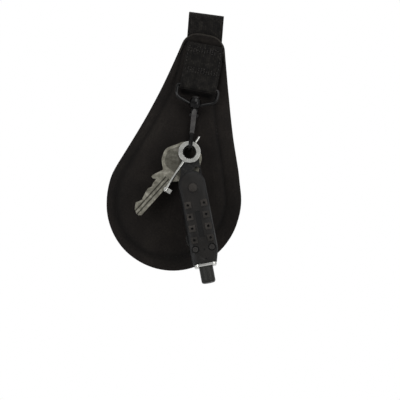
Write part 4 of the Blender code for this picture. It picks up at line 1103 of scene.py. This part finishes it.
# CAD node, piece, body, slot, material and the width in mm that its edges are eased by
RIGID = (
    ("d_loop", "loop_casting", "swivel_loop", "black_metal", BLACK_CASTING, 0.15),
    ("swivel_stud", "swivel_rivet", "hook", "black_metal", BLACK_STEEL, 0.12),
    ("hook_body", "hook_casting", "hook", "black_metal", BLACK_CASTING, 0.15),
    ("gate_pin", "gate_rivet", "hook", "black_metal", BLACK_STEEL, 0.08),
    ("gate_lever", "gate_pressing", "gate", "bare_steel", GATE_STEEL, 0.10),
    ("gate_spring", "gate_coil", None, "spring_steel", SPRING_WIRE, 0),
    ("cuff_key_ring", "cuff_ring", "cuff_key", "nickel_plate", NICKEL, 0.15),
    ("cuff_key_shaft", "cuff_shaft", "cuff_key", "nickel_plate", NICKEL, 0.05),
    ("cuff_key_bit", "cuff_bit", "cuff_key", "nickel_plate", NICKEL, 0.12),
    ("cuff_key_pin", "cuff_pin", "cuff_key", "nickel_plate", NICKEL, 0.05),
    ("door_key", "key_blank", "door_key", "nickel_silver", KEY_METAL, 0.2),
    ("tool_bail", "bail_plate", "tool", "black_metal", BLACK_STEEL, 0.2),
    ("tool_front_shell", "grip_case", "tool", "black_plastic", GRIP, 0.14),
    ("tool_rear_shell", "grip_cover", "tool", "black_plastic", GRIP, 0.2),
    ("head_rivet", "head_button", "tool", "black_plastic", GRIP, 0.15),
    ("shell_screw_left", "left_screw", "tool", "black_metal", SCREW_STEEL, 0.1),
    ("shell_screw_right", "right_screw", "tool", "black_metal", SCREW_STEEL, 0.1),
    ("side_clip", "clip_spring", "tool", "black_metal", BLACK_STEEL, 0.12),
    ("end_plate", "tail_plate", "tool", "bare_steel", NICKEL, 0.12),
    ("end_cap", "nose", "end_cap", "black_plastic", CAP_PLASTIC, 0.1),
    ("nose_spring", "nose_coil", "tool", "spring_steel", SPRING_WIRE, 0),
)


def build_rigid():
    pieces = {row[1]: eased(*row) for row in RIGID}
    # The gate's coil stays on the rivet and its long leg goes with the gate that it presses on
    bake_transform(pieces["gate_coil"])
    # 3 mm of the nose coil's 10.9 mm is taken up when the nose is pressed home
    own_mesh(pieces["nose_coil"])


# Stage

def build_floor():
    """A pale floor that the camera and reflections see as white, with the object's shadow kept."""
    material, tree, shader = start_material(
        "pale_floor", Roughness=0.9, Base_Color=linear("#d4d4d4")
    )
    path = add(tree, "ShaderNodeLightPath").outputs
    seen = add(
        tree,
        "ShaderNodeMath",
        links={0: path["Is Camera Ray"], 1: path["Is Glossy Ray"]},
        operation="MAXIMUM",
    )
    through = add(
        tree,
        "ShaderNodeMath",
        links={0: seen.outputs[0], 1: path["Is Transmission Ray"]},
        operation="MAXIMUM",
    )
    shown = add(tree, "ShaderNodeMath", {1: 0.75}, {0: through.outputs[0]}, operation="MULTIPLY")
    glow = add(tree, "ShaderNodeEmission", {"Color": (1, 1, 1, 1), "Strength": 1.12})
    mixed = add(
        tree,
        "ShaderNodeMixShader",
        links={0: shown.outputs[0], 1: shader.outputs[0], 2: glow.outputs[0]},
    )
    output = next(n for n in tree.nodes if n.type == "OUTPUT_MATERIAL")
    tree.links.new(mixed.outputs[0], output.inputs["Surface"])
    shape = bmesh.new()
    bmesh.ops.create_grid(shape, x_segments=1, y_segments=1, size=3)
    bmesh.ops.translate(shape, vec=(0, 0, -0.42), verts=shape.verts)
    mesh = bpy.data.meshes.new("floor")
    shape.to_mesh(mesh)
    shape.free()
    mesh.materials.append(material)
    floor = bpy.data.objects.new("floor", mesh)
    bpy.context.scene.collection.objects.link(floor)


def build_world():
    """White to the camera, dim as a lamp, and brighter behind and above in reflections."""
    world = bpy.data.worlds.new("studio")
    bpy.context.scene.world = world
    world.use_nodes = True
    tree = world.node_tree
    background = tree.nodes["Background"]
    path = add(tree, "ShaderNodeLightPath").outputs
    toward = add(tree, "ShaderNodeTexCoord").outputs["Generated"]
    parts = add(tree, "ShaderNodeSeparateXYZ", links={"Vector": toward}).outputs
    behind = add(
        tree, "ShaderNodeMapRange", {"From Min": -0.1, "From Max": 0.5}, {"Value": parts["Y"]}
    )
    above = add(
        tree, "ShaderNodeMapRange", {"From Min": -0.1, "From Max": 0.7}, {"Value": parts["Z"]}
    )
    bright = add(
        tree,
        "ShaderNodeMath",
        links={0: behind.outputs["Result"], 1: above.outputs["Result"]},
        operation="MAXIMUM",
    )
    mirrored = add(
        tree,
        "ShaderNodeMapRange",
        {"To Min": 0.30, "To Max": 1.0},
        {"Value": bright.outputs[0]},
    )
    lit = add(
        tree,
        "ShaderNodeMix",
        {"A": 0.28},
        {"Factor": path["Is Glossy Ray"], "B": mirrored.outputs["Result"]},
        data_type="FLOAT",
    )
    seen = add(
        tree,
        "ShaderNodeMath",
        links={0: path["Is Camera Ray"], 1: path["Is Transmission Ray"]},
        operation="MAXIMUM",
    )
    strength = add(
        tree,
        "ShaderNodeMix",
        {"B": 1.0},
        {"Factor": seen.outputs[0], "A": lit.outputs[0]},
        data_type="FLOAT",
    )
    tree.links.new(strength.outputs[0], background.inputs["Strength"])
    background.inputs["Color"].default_value = (1, 1, 1, 1)


def add_lamp(name, place, target, size, power):
    lamp = bpy.data.lights.new(name, "AREA")
    lamp.shape = "RECTANGLE"
    lamp.size, lamp.size_y = size
    lamp.energy = power
    holder = bpy.data.objects.new(name, lamp)
    bpy.context.scene.collection.objects.link(holder)
    holder.location = place
    aim = Vector(target) - Vector(place)
    holder.rotation_euler = aim.to_track_quat("-Z", "Y").to_euler()


def build_camera():
    """Square-on to the pad and rolled 10.5 degrees, with a long lens."""
    lens, sensor = 500, 36
    # Metres across the picture, at the depth of the hook
    field, mid_depth = 0.2857, -0.020
    data = bpy.data.cameras.new("camera")
    data.lens = lens
    data.sensor_width = sensor
    camera = bpy.data.objects.new("camera", data)
    bpy.context.scene.collection.objects.link(camera)
    roll = math.atan2(0.182, 0.983)
    right = Vector((math.cos(roll), 0, math.sin(roll)))
    up = Vector((-math.sin(roll), 0, math.cos(roll)))
    back = right.cross(up)
    axes = Matrix((right, up, back)).transposed().to_4x4()
    centre = Vector((0.01815, mid_depth, 0.0059 + PAD_CENTRE_Z))
    camera.matrix_world = Matrix.Translation(centre + back * (lens / sensor * field)) @ axes
    bpy.context.scene.camera = camera


bpy.context.scene.view_settings.view_transform = "Standard"
build_camera()
build_floor()
build_world()
add_lamp("left_softbox", (-0.55, -0.65, -0.32), (0, 0, -0.12), (0.35, 0.8), 4.5)
add_lamp("right_softbox", (0.60, -0.60, 0.10), (0, 0, -0.12), (0.35, 0.8), 3.0)
add_lamp("top_softbox", (0.10, -0.62, 0.62), (0, 0, -0.10), (0.7, 0.35), 3.0)
build_pad_front()
build_top_roll()
build_pad_back()
build_straps()
build_rigid()
